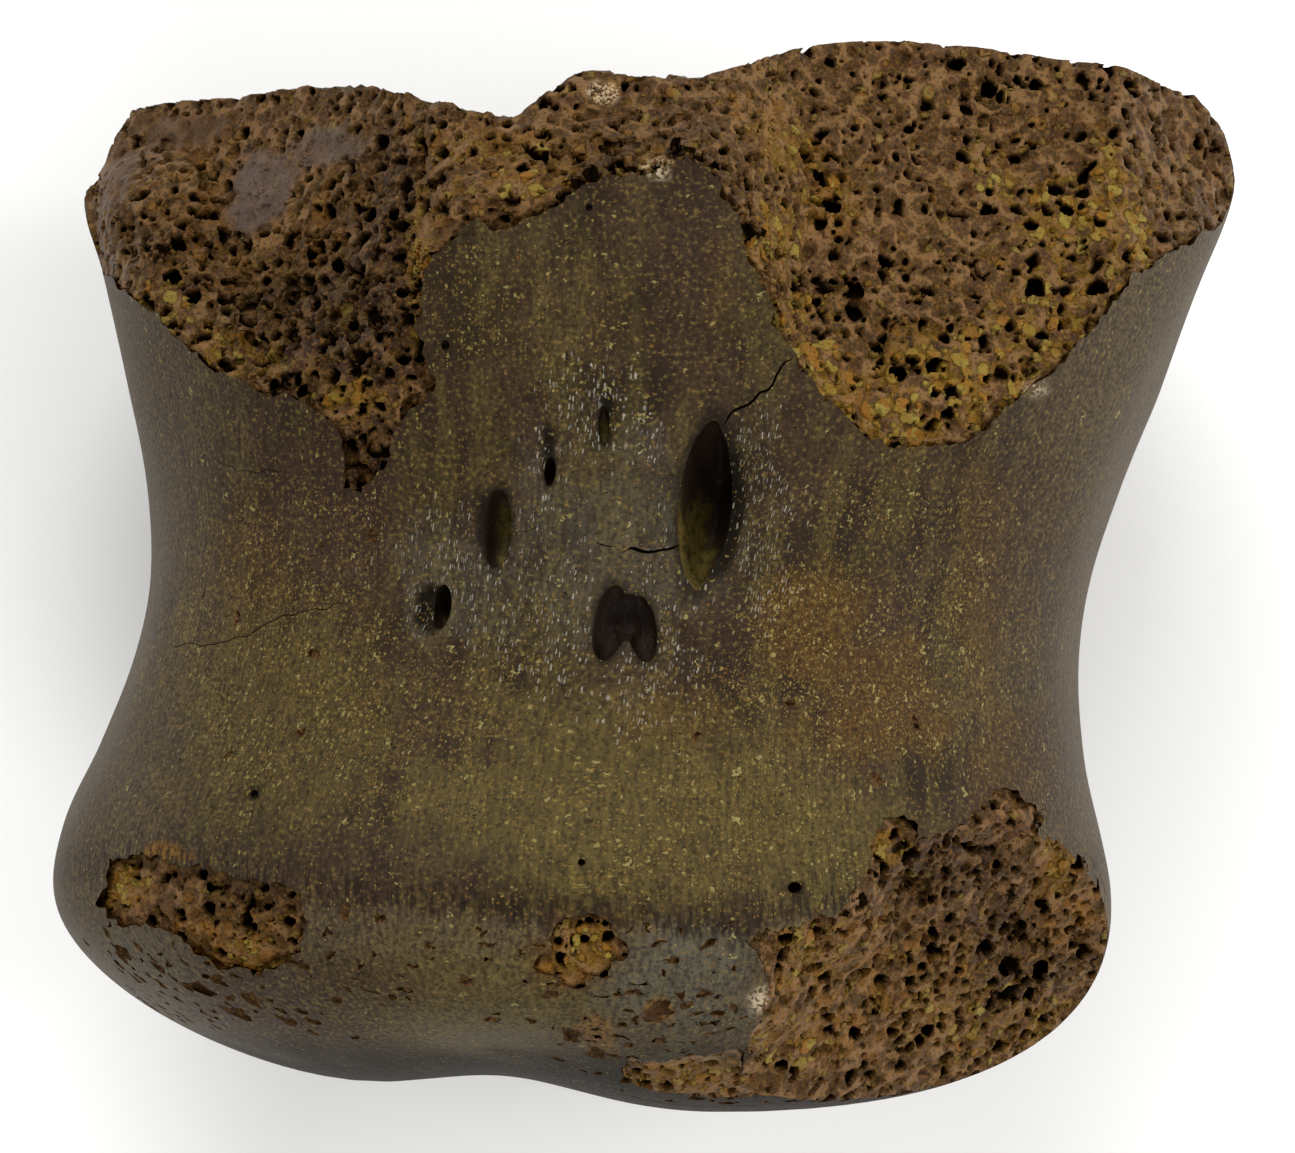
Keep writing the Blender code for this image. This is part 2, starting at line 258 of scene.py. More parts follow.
class Ring(NamedTuple):
    """One ring across the spool: where it crosses the midline, its reach and its lean."""

    y: float
    left: float
    right: float
    belly: float
    back: float
    fan: float


@dataclass
class Spool:
    """The skin of the whole centrum, before it broke.

    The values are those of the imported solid, so the skin lies on it; only the mesh is finer.
    """

    rings: tuple[Ring, ...] = (
        Ring(-21.0, -40.8, 32.0, 29.0, -29.6, -0.025),
        Ring(-17.0, -39.8, 31.0, 27.8, -28.2, -0.025),
        Ring(-12.0, -37.4, 29.9, 26.4, -26.4, -0.020),
        Ring(-6.0, -35.1, 29.5, 25.2, -24.9, -0.010),
        Ring(0.0, -34.0, 30.4, 24.8, -24.0, 0.000),
        Ring(6.0, -34.1, 32.5, 25.2, -24.4, 0.005),
        Ring(13.0, -35.4, 35.4, 26.8, -26.0, 0.008),
        Ring(21.0, -37.3, 38.4, 28.6, -28.2, 0.010),
        Ring(26.4, -38.9, 40.2, 29.8, -29.6, 0.015),
        Ring(28.6, -37.6, 40.0, 29.9, -29.7, 0.018),
        Ring(30.6, -36.9, 39.4, 29.8, -29.6, 0.020),
        Ring(32.6, -35.6, 37.6, 28.4, -28.2, 0.020),
    )
    axis_height: float = 34.0
    widest_below_axis: float = 4.0
    squareness_left: float = 2.6
    squareness_right: float = 2.35
    squareness_back: float = 2.2
    dome_reach: float = 15.4
    dome_power_left: Pair = (2.2, 0.52)
    dome_power_right: Pair = (3.2, 0.46)
    dome_groove: tuple[float, float, float] = (-9.8, 7.6, 2.1)
    groove_fade: float = 0.35
    cup_depth: float = 4.5
    cup_edge: float = 0.62
    lip_rounding: float = 0.4
    lip_width: float = 0.12
    face_lean: float = 0.11
    face_start: float = 18.0
    face_relief: tuple[Pair, ...] = (
        (-36.0, 0.8), (-28.0, -0.4), (-20.0, -0.9), (-14.5, -3.2), (-9.2, -4.6), (-4.5, -1.8),
        (4.0, -2.1), (10.0, 0.2), (15.0, 1.0), (21.0, 0.9), (27.5, 0.2), (36.0, -0.8),
    )
    face_relief_fade: Pair = (14.0, 34.0)
    canal_x: float = -1.5
    stump_middle: Pair = (15.5, 3.5)
    stump_half: Pair = (8.2, 21.0)
    stump_squareness: float = 2.6
    stump_bottom: float = -1.6
    stump_shoulder: Pair = (0.74, 1.45)
    stump_bump: Pair = (1.3, 7.0)
    canal_half_width: float = 6.6
    canal_fade: float = 1.2
    canal_roof_waist: float = 14.0
    canal_roof_ends: float = 9.4
    canal_waist_length: float = 16.0
    rim_carry: int = 7
    swell: float = 0.4
    swell_spacing: float = 11.0
    near_step: float = 0.42
    belly_step: float = 0.62
    back_step: float = 1.9
    middle_step: float = 2.6
    ridge_blur: float = 2.6
    ridge_passes: int = 13
    ridge_sway: Pair = (0.8, 8.0)
    rim_bump: Pair = (0.75, 1.9)
    rim_drop: float = 0.35
    rim_ends: Pair = (-27.0, 2.5)
    rim_rows: Pair = (25.0, 29.0)
    rim_heights: Pair = (40.0, 48.0)
    near_x: Pair = (-17.0, 8.0)
    near_y: Pair = (-7.5, 13.0)
    near_fade: float = 2.0
    belly_sine: Pair = (-0.35, -0.05)
    near_shares: Pair = (0.35, 0.85)
    samples: int = 3000

    def value(self, name: str, y: Array) -> Array:
        """Reads one field of the rings along the length, at each y."""
        return curve([(ring.y, getattr(ring, name)) for ring in self.rings], y)

    def centre(self, y: Array) -> Array:
        """The middle of the rings at y, one row each."""
        middle = (self.value("left", y) + self.value("right", y)) / 2
        height = np.full_like(middle, self.axis_height - self.widest_below_axis)
        return np.stack((middle, y, height), -1)

    def face_offset(self, point: Array) -> Array:
        """How far the hollow end's face stands out from a flat ring, for each point."""
        belly_side = ease(point[:, 2], *self.face_relief_fade)
        relief = curve(self.face_relief, point[:, 0]) * belly_side
        return relief + self.face_lean * (point[:, 2] - self.axis_height)

    def with_stumps(self, point: Array) -> Array:
        """Moves points of the back down to the arch stumps or up into the canal.

        Args:
            point: places on the plain back, one row each.

        Returns:
            The moved places.
        """
        aside = np.abs(point[:, 0] - self.canal_x)
        across = np.abs(aside - self.stump_middle[0]) / self.stump_half[0]
        along = point[:, 1] - self.stump_middle[1]
        power = self.stump_squareness
        spread = across**power + (np.abs(along) / self.stump_half[1]) ** power
        bump, spacing = self.stump_bump
        rough = wander(point, spacing) * bump
        share = 1 - ease(spread ** (1 / power), *self.stump_shoulder)
        lowest = point[:, 2] + (self.stump_bottom - point[:, 2]) * share
        waist = np.exp(-((along / self.canal_waist_length) ** 2))
        roof = self.canal_roof_ends + (self.canal_roof_waist - self.canal_roof_ends) * waist
        canal = 1 - ease(aside / self.canal_half_width, 0, self.canal_fade)
        moved = point.copy()
        moved[:, 2] = (
            lowest + np.maximum(roof - lowest, 0) * canal + rough * share * (1 - canal)
        )
        return moved

    def side(self, y: Array, angle: Array, plain: bool = False) -> Array:
        """Places on the side of the spool.

        Args:
            y: where each place's ring crosses the midline.
            angle: its angle, 0 at +X and a quarter turn on the belly.
            plain: leaves out the stumps and the canal.

        Returns:
            The places, one row each.
        """
        y, angle = (np.ravel(a) for a in np.broadcast_arrays(y, angle))
        centre = self.centre(y)
        sine, cosine = np.sin(angle), np.cos(angle)
        belly = sine >= 0
        rightness = (1 + cosine) / 2
        spread = self.squareness_right - self.squareness_left
        squareness = np.where(
            belly, self.squareness_left + spread * rightness, self.squareness_back
        )
        half_width = (self.value("right", y) - self.value("left", y)) / 2
        reach = np.where(
            belly,
            self.value("belly", y) + self.widest_below_axis,
            -self.value("back", y) - self.widest_below_axis,
        )
        across = half_width * np.sign(cosine) * np.abs(cosine) ** (2 / squareness)
        up = reach * np.sign(sine) * np.abs(sine) ** (2 / squareness)
        point = centre + np.stack((across, self.value("fan", y) * across, up), -1)
        point[:, 1] += self.face_offset(point) * ease(y, self.face_start, self.rings[-1].y)
        if plain or not (up <= 0).any():
            return point
        point[up <= 0] = self.with_stumps(point[up <= 0])
        return point

    def end(self, y: float, share: Array, angle: Array) -> Array:
        """Places between the middle of an end ring and the ring itself, where share is 1."""
        share, angle = (np.ravel(a) for a in np.broadcast_arrays(share, angle))
        rows = np.full_like(angle, y)
        plain = self.side(rows, angle, plain=True)
        carried = (self.side(rows, angle) - plain) * (share**self.rim_carry)[:, None]
        centre = self.centre(rows)
        return centre + (plain - centre) * share[:, None] + carried

    def dome(self, share: Array, angle: Array) -> Array:
        """Places on the domed end: share 1 is its ridge and 0 its middle."""
        share, angle = (np.ravel(a) for a in np.broadcast_arrays(share, angle))
        point = self.end(self.rings[0].y, share, angle)
        rightness = (1 + np.cos(angle)) / 2
        power, root = (
            left + (right - left) * rightness
            for left, right in zip(self.dome_power_left, self.dome_power_right)
        )
        point[:, 1] -= self.dome_reach * (1 - share**power) ** root
        groove_x, groove_width, groove_depth = self.dome_groove
        offset = (point[:, 0] - groove_x) / groove_width
        fade = ease(1 - share, 0, self.groove_fade)
        point[:, 1] += groove_depth * np.exp(-offset * offset) * fade
        return point

    def cup(self, share: Array, angle: Array) -> Array:
        """Places on the hollow end: share 1 is its lip and 0 the middle of the cup."""
        share, angle = (np.ravel(a) for a in np.broadcast_arrays(share, angle))
        last = self.rings[-1]
        point = self.end(last.y, share, angle)
        middle = (last.left + last.right) / 2
        point[:, 1] = last.y + last.fan * (point[:, 0] - middle)
        rounding = self.lip_rounding * ease(1 - share, 0, self.lip_width)
        point[:, 1] += self.face_offset(point) + rounding
        point[:, 1] -= self.cup_depth * (1 - ease(share, 0, self.cup_edge))
        return point

    def uneven(self, point: Array) -> Array:
        """The same places, moved a little away from the bone's axis or towards it."""
        outward = np.stack(
            (point[:, 0], np.zeros(len(point)), point[:, 2] - self.axis_height), -1
        )
        outward /= np.maximum(np.linalg.norm(outward, axis=1), 1e-9)[:, None]
        return point + outward * (wander(point, self.swell_spacing) * self.swell)[:, None]

    def spread_angles(self) -> Array:
        """Angles whose places are near_step apart round the holes, and further elsewhere."""
        fine = np.linspace(0, 2 * math.pi, 2 * self.samples + 1)
        ring = self.side(np.zeros_like(fine), fine, plain=True)
        length = np.linalg.norm(np.diff(ring, axis=0), axis=1)
        middle = (fine[1:] + fine[:-1]) / 2
        belly = ease(np.sin(middle), *self.belly_sine)
        near = window(ring[1:, 0], *self.near_x, self.near_fade) * belly
        belly = belly - near
        density = near / self.near_step + belly / self.belly_step
        count = np.cumsum(length * (density + (1 - near - belly) / self.back_step))
        total = int(count[-1])
        return np.interp(np.arange(total) / total * count[-1], np.append(0, count), fine)

    def spread_rows(self) -> Array:
        """Places of the side's rings, near_step apart beside the holes."""
        first, last = self.rings[0].y, self.rings[-1].y
        fine = np.linspace(first, last, self.samples + 1)
        near = window(fine, *self.near_y, self.near_fade)
        density = near / self.near_step + (1 - near) / self.belly_step
        count = np.cumsum(density) * (fine[1] - fine[0])
        total = int(count[-1])
        return np.interp(np.linspace(count[0], count[-1], total), count, fine)

    def spread_shares(self, end: Callable[[Array, Array], Array]) -> Array:
        """Shares from an end's middle out to its ring, close together near the ring.

        Args:
            end: the dome or cup method.

        Returns:
            Rising shares, without 0 and 1.
        """
        fine = np.linspace(0, 1, self.samples + 1)
        line = end(fine, np.full_like(fine, math.pi / 2))
        length = np.linalg.norm(np.diff(line, axis=0), axis=1)
        near = ease((fine[1:] + fine[:-1]) / 2, *self.near_shares)
        count = np.cumsum(length * (near / self.belly_step + (1 - near) / self.middle_step))
        total = int(count[-1])
        return np.interp(np.arange(1, total) / total * count[-1], np.append(0, count), fine)

    def rim_damage(self, point: Array) -> Array:
        """How much of the hollow end's rim is broken at each place, from 0 to 1."""
        across = window(point[:, 0], *self.rim_ends, self.near_fade)
        return across * ease(point[:, 2], *self.rim_heights) * ease(point[:, 1], *self.rim_rows)

    def wear_edges(self, points: Array, count: int, rows: int, ridge: int) -> None:
        """Rounds and sways the domed end's ridge, and makes the broken rim bumpy.

        Args:
            points: the skin's places, row by row from the domed end; they are changed.
            count: places in a row.
            rows: the number of rows.
            ridge: the row on the ridge.
        """
        away = (np.arange(rows) - ridge) * self.belly_step
        sway, spacing = self.ridge_sway
        grid = points[: rows * count].reshape(rows, count, 3)
        near = np.nonzero(np.abs(away) < 3 * self.ridge_blur)[0]
        block = grid[near[0]:near[-1] + 1]
        fade = np.exp(-((away[near] / self.ridge_blur) ** 2))[:, None]
        # The sway is read along x alone, so that neighbouring rows move together.
        flat = block.reshape(-1, 3) * (1, 0, 0) + (0, 3, 5)
        push = wander(flat, spacing, octaves=2).reshape(block.shape[:2]) * sway
        block[..., 1] += push * fade * (block[..., 2] > self.axis_height)
        for _ in range(self.ridge_passes):
            middle = (block[2:] + block[:-2]) / 2 - block[1:-1]
            block[1:-1] += middle * 0.5 * fade[1:-1, :, None]
        bump, spacing = self.rim_bump
        worn = self.rim_damage(points)
        some = worn > 0
        rough = wander(points[some], spacing, octaves=3) - self.rim_drop
        points[some, 1] += np.minimum(rough, 0) * bump * worn[some]
        points[some, 2] += np.minimum(rough, 0) * bump * worn[some]

    def mesh(self) -> Mesh:
        """Makes the closed skin.

        Returns:
            Its mesh, resting on the ground plane.
        """
        angles = self.spread_angles()
        domes = self.spread_shares(self.dome)
        cups = self.spread_shares(self.cup)[::-1]
        sides = self.spread_rows()
        blocks = [
            self.dome(domes[:, None], angles[None]),
            self.side(sides[:, None], angles[None]),
            self.cup(cups[:, None], angles[None]),
            self.dome(np.zeros(1), np.zeros(1)),
            self.cup(np.zeros(1), np.zeros(1)),
        ]
        points = self.uneven(np.concatenate(blocks))
        count = len(angles)
        rows = (len(points) - 2) // count
        self.wear_edges(points, count, rows, len(domes))
        points[:, 2] = np.maximum(points[:, 2], 0)
        low = np.arange(rows - 1)[:, None] * count + np.arange(count)[None]
        turn = np.arange(rows - 1)[:, None] * count + (np.arange(count)[None] + 1) % count
        quads = np.stack((low, low + count, turn + count, turn), -1).reshape(-1, 4).tolist()
        tip, floor = len(points) - 2, len(points) - 1
        top = (rows - 1) * count
        fans = [(tip, i, (i + 1) % count) for i in range(count)]
        fans += [(floor, top + (i + 1) % count, top + i) for i in range(count)]
        return make_mesh("skin", points, quads + fans)


class Facet(NamedTuple):
    """A slope of a broken face, through a point, that holds as far as its right end."""

    x: float
    y: float
    height: float
    rise_x: float
    rise_y: float
    end: float


class Patch(NamedTuple):
    """A soft oval region of the bone, seen from the belly side, and how strong it is."""

    x: float
    y: float
    half_width: float
    half_length: float
    amount: float


# How far a patch's edge wanders, as a share of its size, over how many millimetres, and between
# which shares of its size it fades.
EDGE_WANDER, EDGE_SPACING = 0.45, 3.2
PATCH_FADE = (0.55, 1.25)


def patches(*rows: tuple[float, ...]) -> tuple[Patch, ...]:
    """Makes patches from rows of their values."""
    return tuple(Patch(*row) for row in rows)


def ragged_edge(point: Array) -> Array:
    """How far each place is pushed in or out of the patches, as a share of their size."""
    return wander(point, EDGE_SPACING, octaves=3) * EDGE_WANDER


def patchy(point: Array, regions: Sequence[Patch], drift: Array) -> Array:
    """How strongly soft patches lie on each place.

    Args:
        point: places in the bone's frame, one row each.
        regions: the patches; where two overlap the stronger holds.
        drift: the ragged_edge of the places.

    Returns:
        0 to 1 for each place.
    """
    strength = np.zeros(len(point))
    for patch in regions:
        across = (point[:, 0] - patch.x) / patch.half_width
        along = (point[:, 1] - patch.y) / patch.half_length
        spread = np.sqrt(across**2 + along**2) + drift
        strength = np.maximum(strength, patch.amount * (1 - ease(spread, *PATCH_FADE)))
    return strength


# Ochre and yellow mineral that fills the open bone, most of it along the lower and right margins
# of the big break.
GOLD_PATCHES = patches(
    (15.3, 11, 8.5, 3.4, 0.95), (20.6, 13, 7, 4, 0.75), (27.2, 18, 4.6, 4.2, 0.8),
    (31.6, 23.4, 3.2, 4.6, 0.9), (27.6, 24.8, 3.4, 2.6, 0.75), (23, 27, 3, 1.8, 0.65),
    (10, 15.8, 3.2, 3.4, 0.75), (8, 22.2, 2.4, 3.2, 0.85), (9.4, 28.4, 2.6, 1.9, 0.75),
    (12.2, 25, 2.2, 2, 0.7), (-32, 18.4, 2.6, 2.4, 0.6), (-27.5, 14.6, 4.2, 1.9, 0.6),
    (-20, 11.8, 2.6, 1.8, 0.6), (-14.9, 20.8, 1.1, 5.6, 0.8), (-13.2, 17, 1.2, 3, 0.7),
    (-7, 25.6, 6.5, 1.4, 0.75), (-10.5, 28.2, 4.6, 1.6, 0.55), (1, 27.2, 1.6, 1.2, 0.8),
    (10.4, -24.4, 2.6, 2.6, 0.75), (9.6, -31, 3.2, 2, 0.6), (16, -17.6, 1.2, 1.2, 1),
    (27.8, -19.4, 1.8, 3.2, 0.6), (22, -29, 7, 4.4, 0.45), (-34.6, -20.6, 1.8, 1.6, 0.9),
    (-25.4, -25.2, 2.6, 1.5, 0.8), (3, -33.2, 5, 1.6, 0.6), (-3.4, -24, 2.6, 2.2, 0.95),
    (-6, -25.2, 1.2, 0.9, 0.5),
)

# Orange iron oxide.
ORANGE_PATCHES = patches(
    (7, 30.6, 2.4, 1.6, 0.8), (9.8, 27.9, 2.4, 1.8, 0.9), (12.2, 24.6, 2.2, 2.2, 0.8),
    (15.6, 15.7, 1.2, 1.3, 1), (13.4, 12.4, 1.4, 1.4, 0.8), (-14.2, 20, 1.3, 6, 0.8),
    (-26, 24.6, 8, 5, 0.5), (-9, 27.8, 6, 2.6, 0.6), (14, -27, 7.5, 6, 0.75),
    (28, -20.5, 2.4, 5, 0.8), (-27, -23.6, 4.5, 2.6, 0.7), (-34.6, -20.6, 2.2, 1.8, 0.9),
    (-4.4, -24, 3.2, 2.6, 0.85), (3, -33.4, 6, 1.8, 0.6), (-6.4, -25.4, 1.6, 1.2, 1),
)

# The dark, open regions of the breaks, and the height at which their ragged edges are read.
DARK_LEVEL = 45.0
DARK_PATCHES = patches(
    (-20.5, 17.5, 7.5, 6.5, 1), (-17.5, 25, 4.5, 4.5, 0.85), (-31, 22.5, 4.5, 3.6, 0.6),
    (-18.6, 8, 2.2, 3.4, 1), (-2.5, 27.2, 6, 1.8, 0.8), (5.4, 23.4, 1.4, 2.6, 0.8),
    (17, 15.6, 3.2, 2.4, 0.7), (11.5, 18, 2.4, 2.2, 0.5), (20, -19.5, 5, 2.8, 0.85),
    (24, -25, 7, 5, 0.7), (-27, -21.4, 4.5, 1.8, 0.6),
)

# Scars of smooth, lilac-grey bone that the break left inside the spongy bone.
SCAR_PATCHES = patches(
    (-25.6, 26.2, 2.6, 2.9, 1), (-26.6, 24.4, 1.6, 1.6, 1), (-21.4, 28.6, 3, 1.3, 0.9),
)

# The last of the smooth brown rim of the hollow end, at its left corner.
RIM_PATCHES = patches(
    (-32.6, 30.6, 4.2, 1.5, 1), (-36, 27.6, 1.8, 3, 0.9),
)

# Golden orange pads where the skin is worn through, pale chips, and mineral in the holes.
PAD_PATCHES = patches(
    (-31.5, -18.2, 2.6, 0.9, 0.8), (0.6, -28.6, 1.2, 1, 0.8), (-3.2, -30, 1.9, 1.6, 0.6),
    (15.9, -17.6, 1, 1, 0.8),
)
PALE_PATCHES = patches(
    (-3.1, 31.9, 1.1, 0.8, 0.9), (0.6, 26.6, 0.9, 0.7, 0.8), (7.3, -27.6, 0.7, 0.9, 1),
    (25.4, 12.4, 1, 0.6, 0.6),
)
MINERAL_PATCHES = patches(
    (3, 1.7, 1.25, 3.3, 1), (-9.3, 2.3, 0.6, 2.2, 1), (-2.8, 9.4, 0.5, 1, 0.8),
    (-13.1, -2.3, 0.5, 1, 0.5),
)

# Where small pits are scattered over the worn skin of the domed end's lip.
PITTED_PATCHES = patches(
    (-29, -27.6, 8, 2.6, 1), (-34, -25, 3, 2.6, 0.8), (-19, -24.6, 5, 4, 0.7),
    (-11, -25.4, 7, 3.6, 0.45), (-4, -25, 3.4, 2.4, 1), (-4, -29, 4, 4, 0.7),
    (2.8, -27.6, 4.4, 4, 0.85), (0, -23, 7, 1.2, 0.7), (-22, -3, 9, 9, 0.06), (12, -8, 9, 9, 0.06),
)

# Olive, ochre and violet tints of the dense bone.
OLIVE_PATCHES = patches(
    (-2, -15, 16, 7, 0.9), (-24, -10, 9, 9, 0.55), (10.5, -17, 7, 5, 0.8), (-12, -28, 11, 5, 0.8),
    (-7, 18, 8, 6, 0.15),
)
OCHRE_PATCHES = patches(
    (11, -3.2, 3.6, 4.4, 0.9), (15, -8.4, 5.5, 4.5, 0.8), (22, 0.5, 2, 9, 0.5),
    (24, -13, 2.6, 4, 0.5), (-26, 2, 3, 5, 0.45), (4.8, 20.5, 1.2, 4, 0.35), (2, -9, 4, 2.2, 0.4),
    (-4.4, -24.2, 4.2, 3, 0.9),
)
VIOLET_PATCHES = patches(
    (-21, 5, 6.5, 7, 0.7), (3, 23, 7, 5, 0.5), (-20, -19, 8, 3, 0.6), (-24, -28, 9, 4, 0.7),
    (25, 3, 4, 8, 0.5), (3.5, -26.5, 5.5, 4, 0.35), (4, -5, 5, 4, 0.35), (26.5, -12, 2.6, 5, 0.5),
)

# Where the fine golden specks are thickest, and where pale dashes round the holes are painted as
# highlights.
SPECK_PATCHES = patches(
    (-24, -5, 9, 11, 1), (-16, -10, 10, 7, 0.7), (12, -7, 8, 9, 0.9), (20, -4, 6, 9, 0.7),
    (2, -16, 14, 6, 0.7), (-8, 17, 8, 6, 0.4), (16, 5, 7, 4, 0.5),
)
PAINTED_GLINT_PATCHES = patches(
    (-3, 10, 4, 4.5, 1), (-1.4, -5, 6, 4.5, 0.9), (-9, -1, 6, 5, 0.8), (7.2, 4, 2.4, 7, 0.9),
    (-12.5, 0.5, 5, 5, 0.6), (1.5, 0, 3, 5, 0.6),
)

# Cool grey bone between the holes and on the lip of the domed end, which starts at a soft line.
BLUE_PATCHES = patches(
    (-1, 2.5, 7.5, 7.5, 0.42), (-12, -0.5, 5, 4.5, 0.36), (2, -26.6, 5.6, 4.2, 0.95),
    (-33, -25.5, 4, 3, 0.4),
)
LIP_LINE = (
    (-40, -20), (-33, -19.4), (-24, -20.6), (-16, -21.4), (-7, -22.2), (0, -22.6),
    (6, -23.6), (12, -21.5), (34, -20),
)


class Surface:
    """Answers where the skin of the whole bone lies over a place."""

    def __init__(self, mesh: Mesh) -> None:
        """Reads the skin's mesh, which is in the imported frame."""
        self.tree = BVHTree.FromPolygons(
            [v.co for v in mesh.vertices], [tuple(p.vertices) for p in mesh.polygons]
        )

    def over(self, x: float, y: float) -> Pair | None:
        """Height and upward share of the normal at (x, y), or None beside the bone."""
        origin = Vector(((x + BONE_SHIFT[0]) * MM, (y + BONE_SHIFT[1]) * MM, 1.0))
        hit, normal, *_ = self.tree.ray_cast(origin, Vector((0, 0, -1)))
        return None if hit is None else (hit.z / MM, abs(normal.z))

    def heights(self, x: Array, y: Array) -> tuple[Array, Array]:
        """Heights and upward shares of the normals; beside the bone they are NaN and 0."""
        rows = [self.over(a, b) or (math.nan, 0.0) for a, b in zip(x.tolist(), y.tolist())]
        found = np.array(rows)
        return found[:, 0], found[:, 1]


def wall(upper: Sequence[int], lower: Sequence[int]) -> list[tuple[int, ...]]:
    """Outward faces between two rings of vertex numbers, counter-clockwise from above."""
    after = [(i + 1) % len(upper) for i in range(len(upper))]
    return [(upper[j], upper[i], lower[i], lower[j]) for i, j in enumerate(after)]


def height_block(
    name: str, xs: Array, ys: Array, heights: Array, level: float
) -> Object:
    """Makes a closed block between an uneven face and a level one.

    Args:
        name: the object's name.
        xs: the grid's columns, rising.
        ys: its rows, rising.
        heights: the uneven face, one row for each of ys.
        level: the level face's height, wholly above or below the other.

    Returns:
        The block; its vertices of the uneven face come first, row by row.
    """
    columns, rows = len(xs), len(ys)
    grid = np.arange(columns * rows).reshape(rows, columns)
    rim = np.concatenate((grid[0, :-1], grid[:-1, -1], grid[-1, :0:-1], grid[:0:-1, 0])).tolist()
    x, y = np.meshgrid(xs, ys)
    face = np.stack((x.ravel(), y.ravel(), heights.ravel()), -1)
    flat = face[rim]
    flat[:, 2] = level
    low = np.stack((grid[:-1, :-1], grid[:-1, 1:], grid[1:, 1:], grid[1:, :-1]), -1)
    base = [columns * rows + i for i in range(len(rim))]
    faces = low.reshape(-1, 4).tolist() + wall(rim, base) + [base[::-1]]
    if level > heights.max():
        faces = [corners[::-1] for corners in faces]
    return make_object(name, make_mesh(name, np.concatenate((face, flat)), faces))


def turning(outline: Array) -> float:
    """Twice the area inside an outline, negative where it runs clockwise."""
    after = np.roll(outline, -1, axis=0)
    return (outline[:, 0] * after[:, 1] - after[:, 0] * outline[:, 1]).sum()


def prism(name: str, outline: Array, low: float, high: float) -> Object:
    """Makes an upright prism over an outline.

    Args:
        name: the object's name.
        outline: its corners as seen from above, one row each.
        low: the height of its floor.
        high: the height of its top.

    Returns:
        The closed prism.
    """
    if turning(outline) < 0:
        outline = outline[::-1]
    count = len(outline)
    flat = [Vector((x, y)) for x, y in outline]
    _, _, faces, *_ = geometry.delaunay_2d_cdt(flat, [], [list(range(count))], 1, 1e-9)
    points = np.concatenate(
        [np.column_stack((outline, np.full(count, height))) for height in (low, high)]
    )
    sides = wall(range(count, 2 * count), range(count))
    floor = [face[::-1] for face in faces]
    top = [[i + count for i in face] for face in faces]
    return make_object(name, make_mesh(name, points, sides + floor + top))


class Floor(Enum):
    """How far under the broken face a break's block starts."""

    RECESS = 2.2
    LAYER = 2.8


